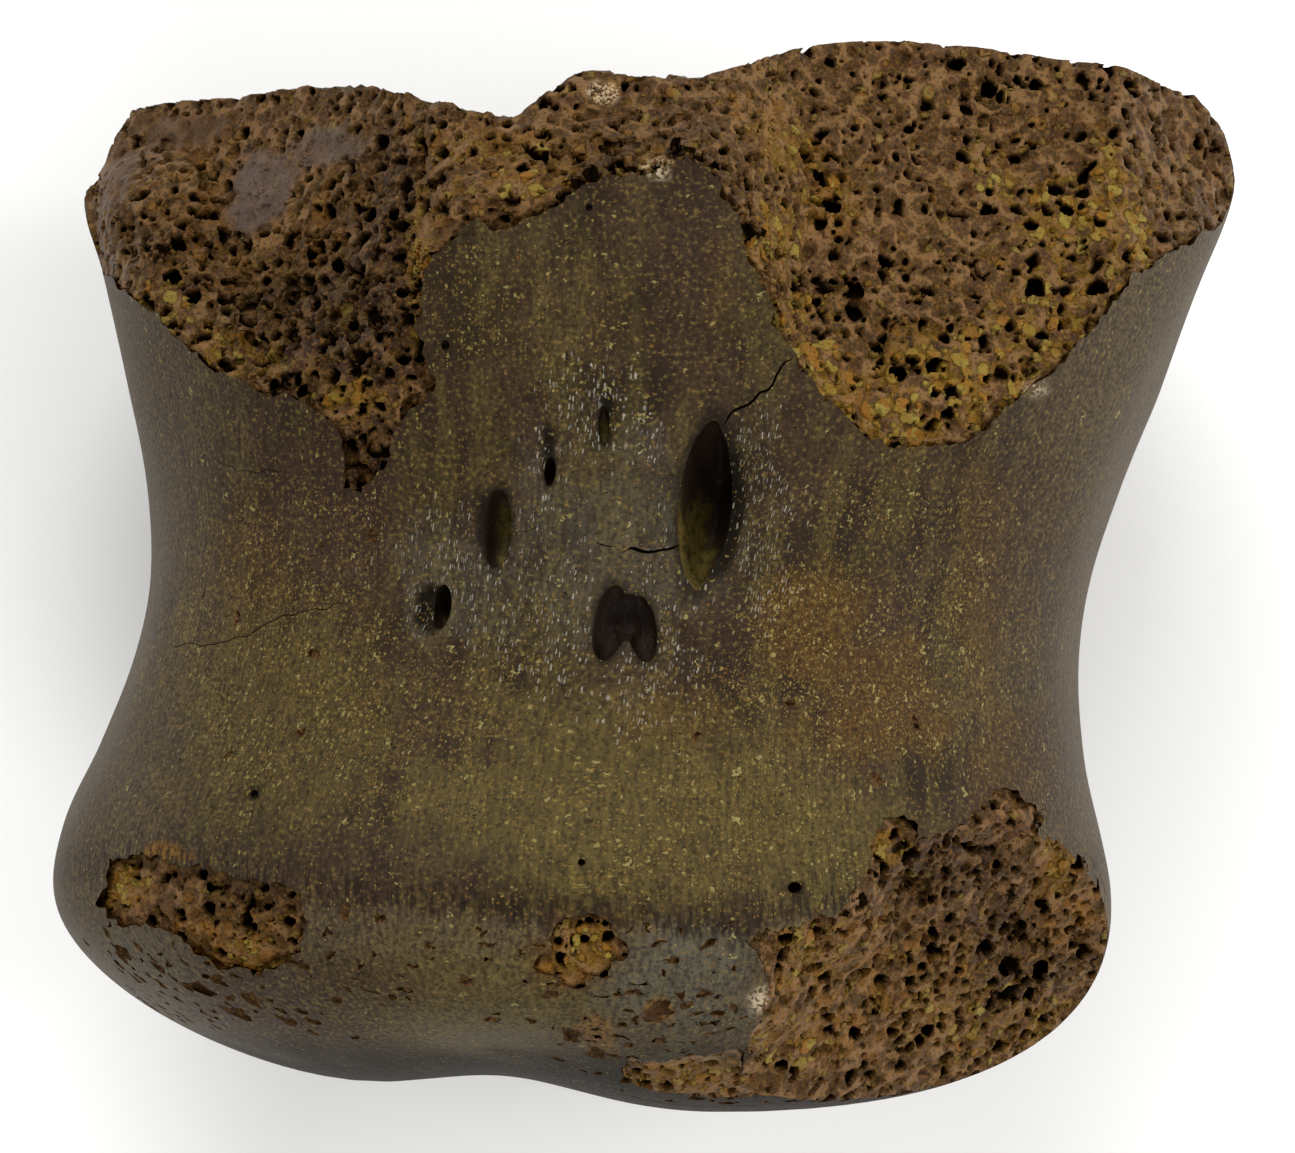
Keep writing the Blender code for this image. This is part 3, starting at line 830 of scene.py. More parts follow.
@dataclass
class Break:
    """One place where the bone broke, and the spongy bone laid open there.

    The outline is drawn as seen from above and runs past the bone where the break does. The
    broken face is made of facets from left to right.
    """

    name: str
    outline: tuple[Pair, ...]
    facets: tuple[Facet, ...]
    chip: float
    lumps: float
    seed: float
    steep: float = 0.5
    facet_blend: float = 3.2
    border_step: float = 0.3
    border_wander: Pair = (0.42, 1.3)
    border_sway: Pair = (0.35, 3.4)
    swell_spacing: float = 8.0
    swell_most: float = 0.2
    ridge: Pair = (0.8, 3.1)
    ridge_drop: float = 0.45
    crag: Pair = (0.2, 1.7)
    cave: Pair = (1.5, 2.6)
    cave_start: float = 0.05
    bank: float = 1.6
    fine_step: float = 0.092
    coarse_step: float = 0.8
    seam: float = 0.03
    sky: float = 80.0

    def border(self) -> Array:
        """The outline with fine points between its own, pushed about by a little."""
        corners = np.array(self.outline)
        rows = []
        for start, end in zip(corners, np.roll(corners, -1, axis=0)):
            length = np.linalg.norm(end - start)
            steps = max(int(length / self.border_step), 1)
            side = np.array((start[1] - end[1], end[0] - start[0])) / length
            between = start + (end - start) * (np.arange(steps) / steps)[:, None]
            deep = np.column_stack((between, np.full(steps, self.seed)))
            push = wander(deep, self.border_wander[1], octaves=3) * self.border_wander[0]
            push += wander(deep, self.border_sway[1]) * self.border_sway[0]
            push[0] = 0.0
            rows.append(between + side * push[:, None])
        return np.concatenate(rows)

    def inside(self, x: Array, y: Array, surface: Surface) -> Array:
        """Distances from places to the part of the outline that lies on the old skin."""
        corners = np.array(self.outline)
        over = ~np.isnan(surface.heights(*corners.T)[0])
        away = np.full(x.shape, np.inf)
        for i, start in enumerate(corners[:-1]):
            if over[i] and over[i + 1]:
                way = corners[i + 1] - start
                right, up = x - start[0], y - start[1]
                share = np.clip((right * way[0] + up * way[1]) / (way @ way), 0, 1)
                away = np.minimum(away, np.hypot(right - share * way[0], up - share * way[1]))
        return away

    def height(self, x: Array, y: Array, surface: Surface) -> Array:
        """The broken face, with its lumps.

        Args:
            x: places across the bone.
            y: places along it.
            surface: the old skin.

        Returns:
            The height at each place.
        """
        slopes = [f.height + f.rise_x * (x - f.x) + f.rise_y * (y - f.y) for f in self.facets]
        height = slopes[0]
        for before, slope in zip(self.facets, slopes[1:]):
            blend = self.facet_blend
            height = height + (slope - height) * ease(x, before.end - blend, before.end + blend)
        skin, upward = surface.heights(x, y)
        under = skin - self.chip
        gentle = (upward > self.steep) & ~np.isnan(skin)
        height = np.where(gentle, np.minimum(height, np.nan_to_num(under, nan=0)), height)
        height = np.fmax(height, under - self.bank * self.inside(x, y, surface))
        seeded = np.column_stack((x, y, height)) + (self.seed * 1000, 0, 0)
        swells = wander(seeded, self.swell_spacing, octaves=3)
        swells = np.minimum(swells, self.swell_most) * self.lumps
        tall, spacing = self.ridge
        ridges = (0.5 - np.abs(wander(seeded + 40, spacing, octaves=2))) * tall - self.ridge_drop
        tall, spacing = self.crag
        crags = wander(seeded + 90, spacing, octaves=2) * tall
        flat = np.column_stack((x, y, np.full_like(x, DARK_LEVEL)))
        dark = patchy(flat, DARK_PATCHES, ragged_edge(flat))
        deep, spacing = self.cave
        caves = wander(seeded + 60, spacing, octaves=2) + self.cave_start
        caves = np.maximum(caves, 0) * dark * deep
        return height + swells + ridges * min(self.lumps, 1) + crags - caves

    def grid(self, step: float, low: float, high: float) -> tuple[Array, Array]:
        """Columns between low and high, and rows over the whole outline."""
        corners = np.array(self.outline)
        bottom, top = corners[:, 1].min() - 1, corners[:, 1].max() + 1
        xs = np.linspace(low, high, int((high - low) / step) + 2)
        ys = np.linspace(bottom, top, int((top - bottom) / step) + 2)
        return xs, ys

    def reach(self) -> Pair:
        """The lowest and highest x of the outline, with a margin."""
        xs = [x for x, _ in self.outline]
        return min(xs) - 1, max(xs) + 1

    def tool(self, floor: Floor, surface: Surface, inset: float = 0.0) -> Object:
        """Makes the block that stands over the break.

        Args:
            floor: how deep under the broken face it starts.
            surface: the old skin.
            inset: how far it stays inside the outline.

        Returns:
            The closed block.
        """
        xs, ys = self.grid(self.coarse_step, *self.reach())
        x, y = np.meshgrid(xs, ys)
        heights = self.height(x.ravel(), y.ravel(), surface) - floor.value
        block = height_block(
            f"{self.name}_{floor.name.lower()}", xs, ys, heights.reshape(x.shape), self.sky
        )
        border = self.border()
        if inset:
            around = np.roll(border, -1, axis=0) - np.roll(border, 1, axis=0)
            inward = np.column_stack((-around[:, 1], around[:, 0]))
            inward /= np.maximum(np.linalg.norm(inward, axis=1), 1e-9)[:, None]
            border = border + inward * inset * np.sign(turning(border))
        trim(block, [prism("outline", border, -1.0, self.sky + 1)], Cut.INSIDE)
        return block


MATH = "ShaderNodeMath"
VECTOR = "ShaderNodeVectorMath"
RANGE = "ShaderNodeMapRange"
MIX = "ShaderNodeMix"
NOISE = "ShaderNodeTexNoise"
CELLS = "ShaderNodeTexVoronoi"
PARTS = "ShaderNodeSeparateXYZ"
STORED = "ShaderNodeAttribute"
NAMED = "GeometryNodeInputNamedAttribute"
STORE = "GeometryNodeStoreNamedAttribute"

# The inputs of a step: its value, its low and high end, and the results at these two. A soft
# step eases between them.
STEP = ("Value", "From Min", "From Max", "To Min", "To Max")
SOFT = {"interpolation_type": "SMOOTHSTEP"}


def add(
    tree: NodeTree, kind: str, inputs: dict[Any, Any] | None = None, **settings: Any
) -> Node:
    """Adds a node with its settings and links.

    Args:
        tree: the node tree.
        kind: the node's type.
        inputs: for each input's name or number, among those in use, its value, its hex colour,
            or the socket or node that feeds it. A node feeds its first output in use.
        settings: the node's own properties.

    Returns:
        The node.
    """
    node = tree.nodes.new(kind)
    for name, value in settings.items():
        setattr(node, name, value)
    free = [socket for socket in node.inputs if socket.enabled]
    for key, value in (inputs or {}).items():
        socket = free[key] if isinstance(key, int) else next(s for s in free if s.name == key)
        if isinstance(value, Node):
            value = next(s for s in value.outputs if s.enabled)
        if isinstance(value, NodeSocket):
            tree.links.new(value, socket)
        elif isinstance(value, str) and value.startswith("#"):
            socket.default_value = linear(value)
        else:
            socket.default_value = value
    return node


def start_geometry_tree(name: str, sockets: dict[str, str]) -> NodeTree:
    """Makes a Geometry Nodes tree with a geometry in, a geometry out and named inputs.

    Args:
        name: the tree's name.
        sockets: the socket type of each further input.

    Returns:
        The tree, with its Group Input and Group Output named "in" and "out".
    """
    tree = bpy.data.node_groups.new(name, "GeometryNodeTree")
    tree.interface.new_socket("Geometry", in_out="INPUT", socket_type="NodeSocketGeometry")
    for label, kind in sockets.items():
        tree.interface.new_socket(label, in_out="INPUT", socket_type=kind)
    tree.interface.new_socket("Geometry", in_out="OUTPUT", socket_type="NodeSocketGeometry")
    add(tree, "NodeGroupInput", name="in")
    add(tree, "NodeGroupOutput", name="out")
    return tree


def end_geometry_tree(tree: NodeTree, geometry_node: Node) -> None:
    """Closes a tree: instances made real, the material set, the result sent out.

    Args:
        tree: the tree; it has an input named Material.
        geometry_node: the last node that shapes the geometry.
    """
    real = add(tree, "GeometryNodeRealizeInstances", {"Geometry": geometry_node})
    inputs = {"Geometry": real, "Material": tree.nodes["in"].outputs["Material"]}
    worn = add(tree, "GeometryNodeSetMaterial", inputs)
    tree.links.new(worn.outputs[0], tree.nodes["out"].inputs[0])


def drifting(tree: NodeTree, place: Any, scale: Any, amount: Any) -> Node:
    """Adds noise that pushes places about.

    Args:
        tree: the node tree.
        place: the places.
        scale: the noise's scale.
        amount: how far it pushes.

    Returns:
        The node that gives the push.
    """
    push = add(tree, NOISE, {"Vector": place, "Scale": scale, "Detail": 1.0}).outputs["Color"]
    push = add(tree, VECTOR, {0: push, 1: (0.5, 0.5, 0.5)}, operation="SUBTRACT")
    return add(tree, VECTOR, {0: push, "Scale": amount}, operation="SCALE")


def grow(obj: Object, tree: NodeTree, values: dict[str, Any]) -> None:
    """Runs a Geometry Nodes tree on an object and keeps the result as its plain mesh.

    Args:
        obj: the object.
        tree: the tree.
        values: a value for each named input.
    """
    modifier = obj.modifiers.new(tree.name, "NODES")
    modifier.node_group = tree
    for item in tree.interface.items_tree:
        if item.item_type == "SOCKET" and item.in_out == "INPUT" and item.name in values:
            modifier[item.identifier] = values[item.name]
    settle(obj)


def put(mesh: Mesh, name: str, values: Array) -> None:
    """Stores one value, or one vector, for each vertex of the mesh under a name."""
    kind, key = ("FLOAT", "value") if values.ndim == 1 else ("FLOAT_VECTOR", "vector")
    attribute = mesh.attributes.new(name, kind, "POINT")
    attribute.data.foreach_set(key, np.ascontiguousarray(values, np.float32).ravel())


class PoreSize(NamedTuple):
    """One size of the open cells of spongy bone, in millimetres."""

    label: str
    spacing: float
    least: float
    most: float
    shallow: float
    deep: float
    shut: float


@dataclass(frozen=True)
class Pores:
    """The Geometry Nodes that open the round cells of a crust of spongy bone.

    Shallow bowls with ridges between them cover the crust, and three sizes of cells go deeper.
    Each cell belongs to one point of a random 3-D pattern, so neighbouring crusts agree. A cell
    is open, or is filled with mineral to the top inside a thin groove.
    """

    sizes: tuple[PoreSize, ...] = (
        PoreSize("Marrow Cell", 1.75, 0.36, 0.62, 1.0, 1.9, 0.42),
        PoreSize("Bone Cell", 1.12, 0.26, 0.47, 0.7, 1.5, 0.42),
        PoreSize("Fine Cell", 0.66, 0.14, 0.27, 0.3, 0.8, 0.36),
    )
    seed: float = 3.0
    wall_slope: float = 0.13
    fill_groove: float = 0.14
    bowl_spacing: float = 0.95
    bowl_depth: float = 0.42
    bowl_wall: Pair = (0.1, 0.56)
    ridge_wall: Pair = (0.42, 0.72)
    warp: float = 0.7
    warp_spacing: float = 1.1
    gold_widens: float = 0.4
    dark_widens: float = 1.2
    gold_shuts: float = 0.45
    dark_opens: float = 0.4
    tint_edge: float = 0.3
    filled_depth: float = 0.08
    smoothing: float = 0.86

    def values(self, material: Material) -> dict[str, Any]:
        """The inputs of the tree: a value for each name, and the spongy bone's material."""
        plain = ("seed", "wall_slope", "fill_groove", "bowl_spacing", "bowl_depth", "warp",
                 "warp_spacing")
        result: dict[str, Any] = {name: getattr(self, name) for name in plain}
        for size in self.sizes:
            for part in PoreSize._fields[1:]:
                result[f"{size.label} {part}"] = getattr(size, part)
        return result | {"Material": material}

    def tree(self) -> NodeTree:
        """Builds the tree; it reads the vertex values top, out, gold, dark and smooth.

        Returns:
            The tree. It stores pore, fill, tint and ridge for the material.
        """
        sockets = {name: "NodeSocketFloat" for name in self.values(None)}
        tree = start_geometry_tree("spongy bone", sockets | {"Material": "NodeSocketMaterial"})
        given = tree.nodes["in"].outputs
        gold, dark, smooth, top = (
            add(tree, NAMED, {"Name": name}, data_type="FLOAT")
            for name in ("gold", "dark", "smooth", "top")
        )
        place = add(tree, "GeometryNodeInputPosition")
        place = add(tree, VECTOR, {0: place, "Scale": 1 / MM}, operation="SCALE")
        place = add(tree, VECTOR, {0: place, 1: given["seed"]}, operation="ADD")
        scale = add(tree, MATH, {0: 1.0, 1: given["warp_spacing"]}, operation="DIVIDE")
        drift = drifting(tree, place, scale, given["warp"])
        place = add(tree, VECTOR, {0: place, 1: drift}, operation="ADD")

        # Shallow round bowls everywhere, with ridges between them.
        scale = add(tree, MATH, {0: 1.0, 1: given["bowl_spacing"]}, operation="DIVIDE")
        cell = add(tree, CELLS, {"Vector": place, "Scale": scale})
        chance = add(tree, PARTS, {0: cell.outputs["Color"]})
        bowl = add(tree, RANGE, dict(zip(STEP, (cell, *self.bowl_wall, 1.0, 0.0))), **SOFT)
        ridge = add(tree, RANGE, dict(zip(STEP, (cell, *self.ridge_wall))))
        bowl = add(tree, MATH, {0: bowl, 1: chance}, operation="MULTIPLY")
        bowl = add(tree, MATH, {0: bowl, 1: given["bowl_depth"]}, operation="MULTIPLY")

        depth: Any = 0.0
        fill: Any = 0.0
        tint: Any = 0.5
        for size in self.sizes:
            spacing, least, most, shallow, deep, shut = (
                given[f"{size.label} {part}"] for part in PoreSize._fields[1:]
            )
            scale = add(tree, MATH, {0: 1.0, 1: spacing}, operation="DIVIDE")
            cell = add(tree, CELLS, {"Vector": place, "Scale": scale})
            away = add(tree, MATH, {0: cell, 1: spacing}, operation="MULTIPLY")
            chance = add(tree, PARTS, {0: cell.outputs["Color"]}).outputs
            radius = add(tree, RANGE, {"Value": chance[0], "To Min": least, "To Max": most})
            wider = add(tree, RANGE, {"Value": dark, "To Min": 1.0, "To Max": self.dark_widens})
            wider = add(tree, MATH, {0: gold, 1: self.gold_widens, 2: wider},
                        operation="MULTIPLY_ADD")
            radius = add(tree, MATH, {0: radius, 1: wider}, operation="MULTIPLY")
            inner = add(tree, MATH, {0: radius, 1: given["wall_slope"]}, operation="SUBTRACT")
            mask = add(tree, RANGE, dict(zip(STEP, (away, inner, radius, 1.0, 0.0))), **SOFT)
            # Gold regions shut more cells, dark ones open more.
            limit: Any = shut
            for region, share in ((gold, self.gold_shuts), (dark, -self.dark_opens)):
                limit = add(tree, MATH, {0: region, 1: share, 2: limit},
                            operation="MULTIPLY_ADD")
            is_open = add(tree, MATH, {0: chance[1], 1: limit}, operation="GREATER_THAN")
            pit = add(tree, RANGE, {"Value": chance[2], "To Min": shallow, "To Max": deep})
            pit = add(tree, MATH, {0: pit, 1: is_open}, operation="MULTIPLY")
            pit = add(tree, MATH, {0: pit, 1: mask}, operation="MULTIPLY")
            depth = add(tree, MATH, {0: depth, 1: pit}, operation="MAXIMUM")
            closed = add(tree, MATH, {0: 1.0, 1: is_open}, operation="SUBTRACT")
            closed = add(tree, MATH, {0: closed, 1: mask}, operation="MULTIPLY")
            fill = add(tree, MATH, {0: fill, 1: closed}, operation="MAXIMUM")
            here = add(tree, MATH, {0: mask, 1: self.tint_edge}, operation="GREATER_THAN")
            tint = add(tree, MIX, {"Factor": here, "A": tint, "B": chance[0]}, data_type="FLOAT")

        clear = add(tree, MATH, {0: depth, 1: self.filled_depth}, operation="LESS_THAN")
        fill = add(tree, MATH, {0: fill, 1: clear}, operation="MULTIPLY")
        rest = add(tree, MATH, {0: 1.0, 1: fill}, operation="SUBTRACT")
        groove = add(tree, MATH, {0: fill, 1: rest}, operation="MULTIPLY")
        groove = add(tree, MATH, {0: groove, 1: given["fill_groove"]}, operation="MULTIPLY")
        groove = add(tree, MATH, {0: groove, 1: 4.0}, operation="MULTIPLY")
        bowl = add(tree, MATH, {0: bowl, 1: rest}, operation="MULTIPLY")
        for other in (groove, bowl):
            depth = add(tree, MATH, {0: depth, 1: other}, operation="MAXIMUM")
        whole = add(tree, MATH, {0: smooth, 1: -self.smoothing, 2: 1.0},
                    operation="MULTIPLY_ADD")
        whole = add(tree, MATH, {0: whole, 1: top}, operation="MULTIPLY")
        depth = add(tree, MATH, {0: depth, 1: whole}, operation="MULTIPLY")
        shape: Any = given["Geometry"]
        for name, value in (("pore", depth), ("fill", fill), ("tint", tint), ("ridge", ridge)):
            inputs = {"Geometry": shape, "Name": name, "Value": value}
            shape = add(tree, STORE, inputs, data_type="FLOAT", domain="POINT")
        outward = add(tree, NAMED, {"Name": "out"}, data_type="FLOAT_VECTOR")
        down = add(tree, MATH, {0: depth, 1: -MM}, operation="MULTIPLY")
        move = add(tree, VECTOR, {0: outward, "Scale": down}, operation="SCALE")
        moved = add(tree, "GeometryNodeSetPosition", {"Geometry": shape, "Offset": move})
        end_geometry_tree(tree, moved)
        return tree


@dataclass
class Crust:
    """A piece of the spongy bone that a break laid open, cut flush with the old skin."""

    name: str
    source: Break
    x_range: Pair
    y_range: Pair
    margin: float = 0.6
    overlap: float = 0.02
    keel: float = 5.0
    far: float = 60.0
    smooth_edge: Pair = (0.35, 0.6)

    def build(
        self, surface: Surface, skin: Object, tree: NodeTree,
        pores: Pores, finishes: Sequence[Material],
    ) -> Object:
        """Makes the piece.

        Args:
            surface: the old skin, for heights.
            skin: the old skin as a closed object; a copy of it trims the piece.
            tree: the pores' tree.
            pores: their sizes.
            finishes: the spongy and the dense material.

        Returns:
            The closed piece.
        """
        low, high = self.x_range
        step = self.source.fine_step
        xs = np.arange(low - self.margin, high + self.margin, step)
        ys = np.arange(self.y_range[0], self.y_range[1], step)
        x, y = np.meshgrid(xs, ys)
        heights = self.source.height(x.ravel(), y.ravel(), surface).reshape(x.shape)
        piece = height_block(self.name, xs, ys, heights, self.keel)
        count = len(piece.data.vertices)
        top = np.zeros(count)
        top[: x.size] = 1
        rise_y, rise_x = np.gradient(heights, step)
        out = np.zeros((count, 3))
        out[: x.size] = np.stack((-rise_x.ravel(), -rise_y.ravel(), np.ones(x.size)), -1)
        out[: x.size] /= np.linalg.norm(out[: x.size], axis=1)[:, None]
        point = places(piece.data)
        drift = ragged_edge(point)
        smooth = patchy(point, SCAR_PATCHES + RIM_PATCHES, drift)
        put(piece.data, "top", top)
        put(piece.data, "out", out)
        put(piece.data, "gold", patchy(point, GOLD_PATCHES, drift))
        put(piece.data, "dark", patchy(point, DARK_PATCHES, drift))
        put(piece.data, "smooth", ease(smooth, *self.smooth_edge))
        grow(piece, tree, pores.values(finishes[0]))
        layer = self.source.tool(Floor.LAYER, surface, inset=self.source.seam)
        ends = (low - self.overlap, high + self.overlap)
        corners = ((0, -self.far), (1, -self.far), (1, self.far), (0, self.far))
        slab = np.array([(ends[i], y) for i, y in corners])
        trim(layer, [prism("slab", slab, -2.0, self.source.sky + 2)], Cut.INSIDE)
        hull = make_object("hull", skin.data.copy())
        for finish in finishes[1:]:
            piece.data.materials.append(finish)
        trim(piece, [layer, hull], Cut.INSIDE)
        return piece


@dataclass(frozen=True)
class Pits:
    """The Geometry Nodes that scatter small ragged pits over worn bone, as closed cutters."""

    density: float = 1.1
    gap: float = 0.85
    least: tuple[float, float, float] = (0.12, 0.1, 0.15)
    most: tuple[float, float, float] = (0.7, 0.42, 0.4)
    ragged: float = 1.1
    ragged_scale: float = 2.2
    seed: int = 11

    def tree(self) -> NodeTree:
        """Builds the tree; it reads the vertex value pitted, from 0 to 1.

        Returns:
            The tree. It turns a skin into the pits' cutters.
        """
        sockets = {name: "NodeSocketFloat" for name in ("Density", "Gap", "Ragged")}
        sockets |= {"Least": "NodeSocketVector", "Most": "NodeSocketVector"}
        sockets |= {"Seed": "NodeSocketInt", "Material": "NodeSocketMaterial"}
        tree = start_geometry_tree("worn pits", sockets)
        given = tree.nodes["in"].outputs
        pitted = add(tree, NAMED, {"Name": "pitted"}, data_type="FLOAT")
        inputs = {"Mesh": given["Geometry"], "Distance Min": given["Gap"],
                  "Density Max": given["Density"], "Density Factor": pitted,
                  "Seed": given["Seed"]}
        points = add(tree, "GeometryNodeDistributePointsOnFaces", inputs,
                     distribute_method="POISSON")
        inputs = {"Min": given["Least"], "Max": given["Most"], "Seed": given["Seed"]}
        size = add(tree, "FunctionNodeRandomValue", inputs, data_type="FLOAT_VECTOR")
        ball = add(tree, "GeometryNodeMeshIcoSphere", {"Radius": 1.0, "Subdivisions": 2})
        inputs = {"Points": points, "Instance": ball,
                  "Rotation": points.outputs["Rotation"], "Scale": size}
        made = add(tree, "GeometryNodeInstanceOnPoints", inputs)
        real = add(tree, "GeometryNodeRealizeInstances", {"Geometry": made})
        place = add(tree, "GeometryNodeInputPosition")
        drift = drifting(tree, place, self.ragged_scale / MM, given["Ragged"])
        moved = add(tree, "GeometryNodeSetPosition", {"Geometry": real, "Offset": drift})
        end_geometry_tree(tree, moved)
        return tree

    def cutters(self, skin: Object, material: Material) -> Object:
        """Makes the cutters.

        Args:
            skin: the skin, with its vertex value pitted.
            material: the pits' lining.

        Returns:
            One object of closed, separate pits.
        """
        pits = make_object("pits", skin.data.copy())
        pits.data.materials.clear()
        values = {
            "Density": self.density / MM**2, "Gap": self.gap * MM, "Ragged": self.ragged * MM,
            "Least": [v * MM for v in self.least], "Most": [v * MM for v in self.most],
            "Seed": self.seed, "Material": material,
        }
        grow(pits, self.tree(), values)
        return pits


class Lining(Enum):
    """The finishes of the dense bone's skin, in the order of its material slots."""

    DENSE = 0
    SPONGY = 1
    VESSEL = 2


@dataclass(frozen=True)
class Foramen:
    """A hole where a blood vessel went into the bone: a shaft that leans and narrows."""

    name: str
    x: float
    y: float
    width: float
    length: float
    depth: float
    turn: float = 0.0
    lean: Pair = (0.0, 0.0)
    funnel: float = 0.0
    reach: float = 0.6
    bluntness: float = 3.0
    point: float = 1.0
    bend: float = 0.0
    wobble: float = 0.06
    wobble_deep: float = 0.1
    wobble_spacing: float = 1.3
    lining: Lining = Lining.VESSEL
    tip: float = 0.02
    rise: float = 3.0
    sides: int = 36
    levels: int = 18

    def spread(self, point: Array) -> Array:
        """Distance of each place from the hole's middle, 1 at its rim."""
        angle = math.radians(self.turn)
        x, y = point[:, 0] - self.x, point[:, 1] - self.y
        across = x * math.cos(angle) + y * math.sin(angle)
        along = y * math.cos(angle) - x * math.sin(angle)
        return np.hypot(across / (self.width / 2), along / (self.length / 2))

    def cutter(self, surface: Surface) -> Object:
        """Makes the shaft's closed cutter.

        Args:
            surface: the skin.

        Returns:
            The cutter.
        """
        height = surface.over(self.x, self.y)[0]
        turn = 2 * math.pi * np.arange(self.sides) / self.sides
        angle = math.radians(self.turn)
        rows = []
        for k in range(self.levels + 1):
            down = k / self.levels * (self.depth + self.rise) - self.rise
            into = min(max(down, 0.0) / self.depth, 1.0)
            size = (1 - into**self.bluntness) ** 0.5 * (1 - self.tip) + self.tip
            thin = np.sign(np.cos(turn)) * np.abs(np.cos(turn)) ** self.point
            across = thin * self.width / 2 * size
            along = np.sin(turn) * self.length / 2 * size
            x = self.x + across * math.cos(angle) - along * math.sin(angle)
            y = self.y + along * math.cos(angle) + across * math.sin(angle)
            x = x + self.lean[0] * max(down, 0.0)
            y = y + self.lean[1] * max(down, 0.0)
            row = np.stack((x, y, np.full(self.sides, height - down)), -1)
            middle = row.mean(axis=0)
            uneven = wander(row + 30, self.wobble_spacing, octaves=2)
            wobble = 1 + (self.wobble + self.wobble_deep * into) * uneven
            rows.append(middle + (row - middle) * wobble[:, None] ** (1, 1, 0))
        rings = np.arange(len(rows) * self.sides).reshape(-1, self.sides).tolist()
        faces = [face for pair in zip(rings, rings[1:]) for face in wall(*pair)]
        faces += [rings[0], rings[-1][::-1]]
        return make_object(self.name, make_mesh(self.name, np.concatenate(rows), faces))


# The holes: middle, width, length, depth, turn in degrees, lean, and the funnel at the top.
FORAMINA = (
    Foramen("big_hole", 3.75, 4.7, 3.5, 11.0, 5.6, -6, (0.16, 0.08), 0.15, 0.3, 1.8, 1.2, 0.35),
    Foramen("left_hole", -9.9, 3.1, 2.0, 5.2, 2.8, -4, (0.22, 0.0), 0.3, 0.5, 2.4, bend=0.35),
    Foramen("far_left_hole", -13.5, -2.0, 1.25, 3.0, 2.8, -8, (0.2, 0.0), bluntness=2.0, bend=0.35),
    Foramen("upper_hole", -6.4, 6.9, 0.8, 1.9, 2.2, -4, (0.1, 0.0), 0.3, 1.4, bend=0.35),
    Foramen("small_hole", -2.85, 9.9, 0.75, 2.6, 1.4, 0, (0.0, -0.2), 0.25, 0.8, bend=0.35),
    Foramen("arched_hole_left", -2.45, -3.05, 2.2, 5.0, 2.7, -10, (0.05, 0.0), 0.2, 0.4, 5.0),
    Foramen("arched_hole_right", -0.35, -3.45, 1.95, 4.4, 2.7, 9, (0.0, 0.05), 0.2, 0.4, 5.0),
    Foramen("arched_hole_middle", -1.4, -2.7, 2.4, 3.1, 2.75, bluntness=5.0, point=0.6),
    Foramen("lower_pit", 9.6, -20.3, 0.9, 0.75, 1.3, funnel=0.15, reach=0.8),
    Foramen("middle_pit", -4.3, -18.6, 0.5, 0.5, 0.6),
    Foramen("ringed_pit", -25.8, -14.3, 0.5, 0.6, 0.7, funnel=0.15, reach=1.2),
    *(Foramen(f"lip_pit_{i}", *size, wobble=0.9, lining=Lining.SPONGY) for i, size in enumerate((
        (-35.1, -25.2, 1.5, 1.1, 0.7, -35), (-30.3, -27.2, 3.4, 1.0, 0.6, -10),
        (-27.2, -29.0, 2.8, 0.9, 0.5, -14), (-26.0, -28.0, 1.3, 0.9, 0.6, -30),
        (-32.4, -25.9, 1.2, 0.7, 0.5, -20), (-28.4, -26.6, 1.6, 0.6, 0.5, 5),
        (-23.6, -29.4, 1.5, 0.6, 0.5, -18), (-20.4, -27.8, 0.9, 0.7, 0.5, 10),
        (0.9, -28.3, 1.6, 1.2, 0.6, 20), (-4.9, -30.4, 1.6, 1.4, 0.5, -30),
        (-3.4, -31.6, 1.1, 1.2, 0.5, 40), (-1.9, -24.1, 1.0, 0.8, 0.4, 0),
    ), 1)),
    Foramen("shoulder_pit", -13.2, 15.1, 0.55, 0.7, 0.7),
    Foramen("upper_pit", -3.8, 24.0, 0.45, 0.5, 0.5),
)

# A sloped dish beside a hole or above it, as the shaft comes up at a slant.
DISHES = (
    Foramen("far_left_shoulder", -14.3, -2.1, 2.3, 3.8, 1.0, -8),
    Foramen("left_hole_shoulder", -10.5, 3.6, 1.9, 4.6, 0.5, -4),
    Foramen("big_hole_slope", 4.6, 4.2, 4.0, 10.8, 1.5, -7),
    Foramen("upper_groove", -6.5, 8.6, 1.1, 3.2, 0.4, 0),
    Foramen("small_hole_groove", -2.7, 11.2, 0.9, 2.4, 0.25, 0),
)


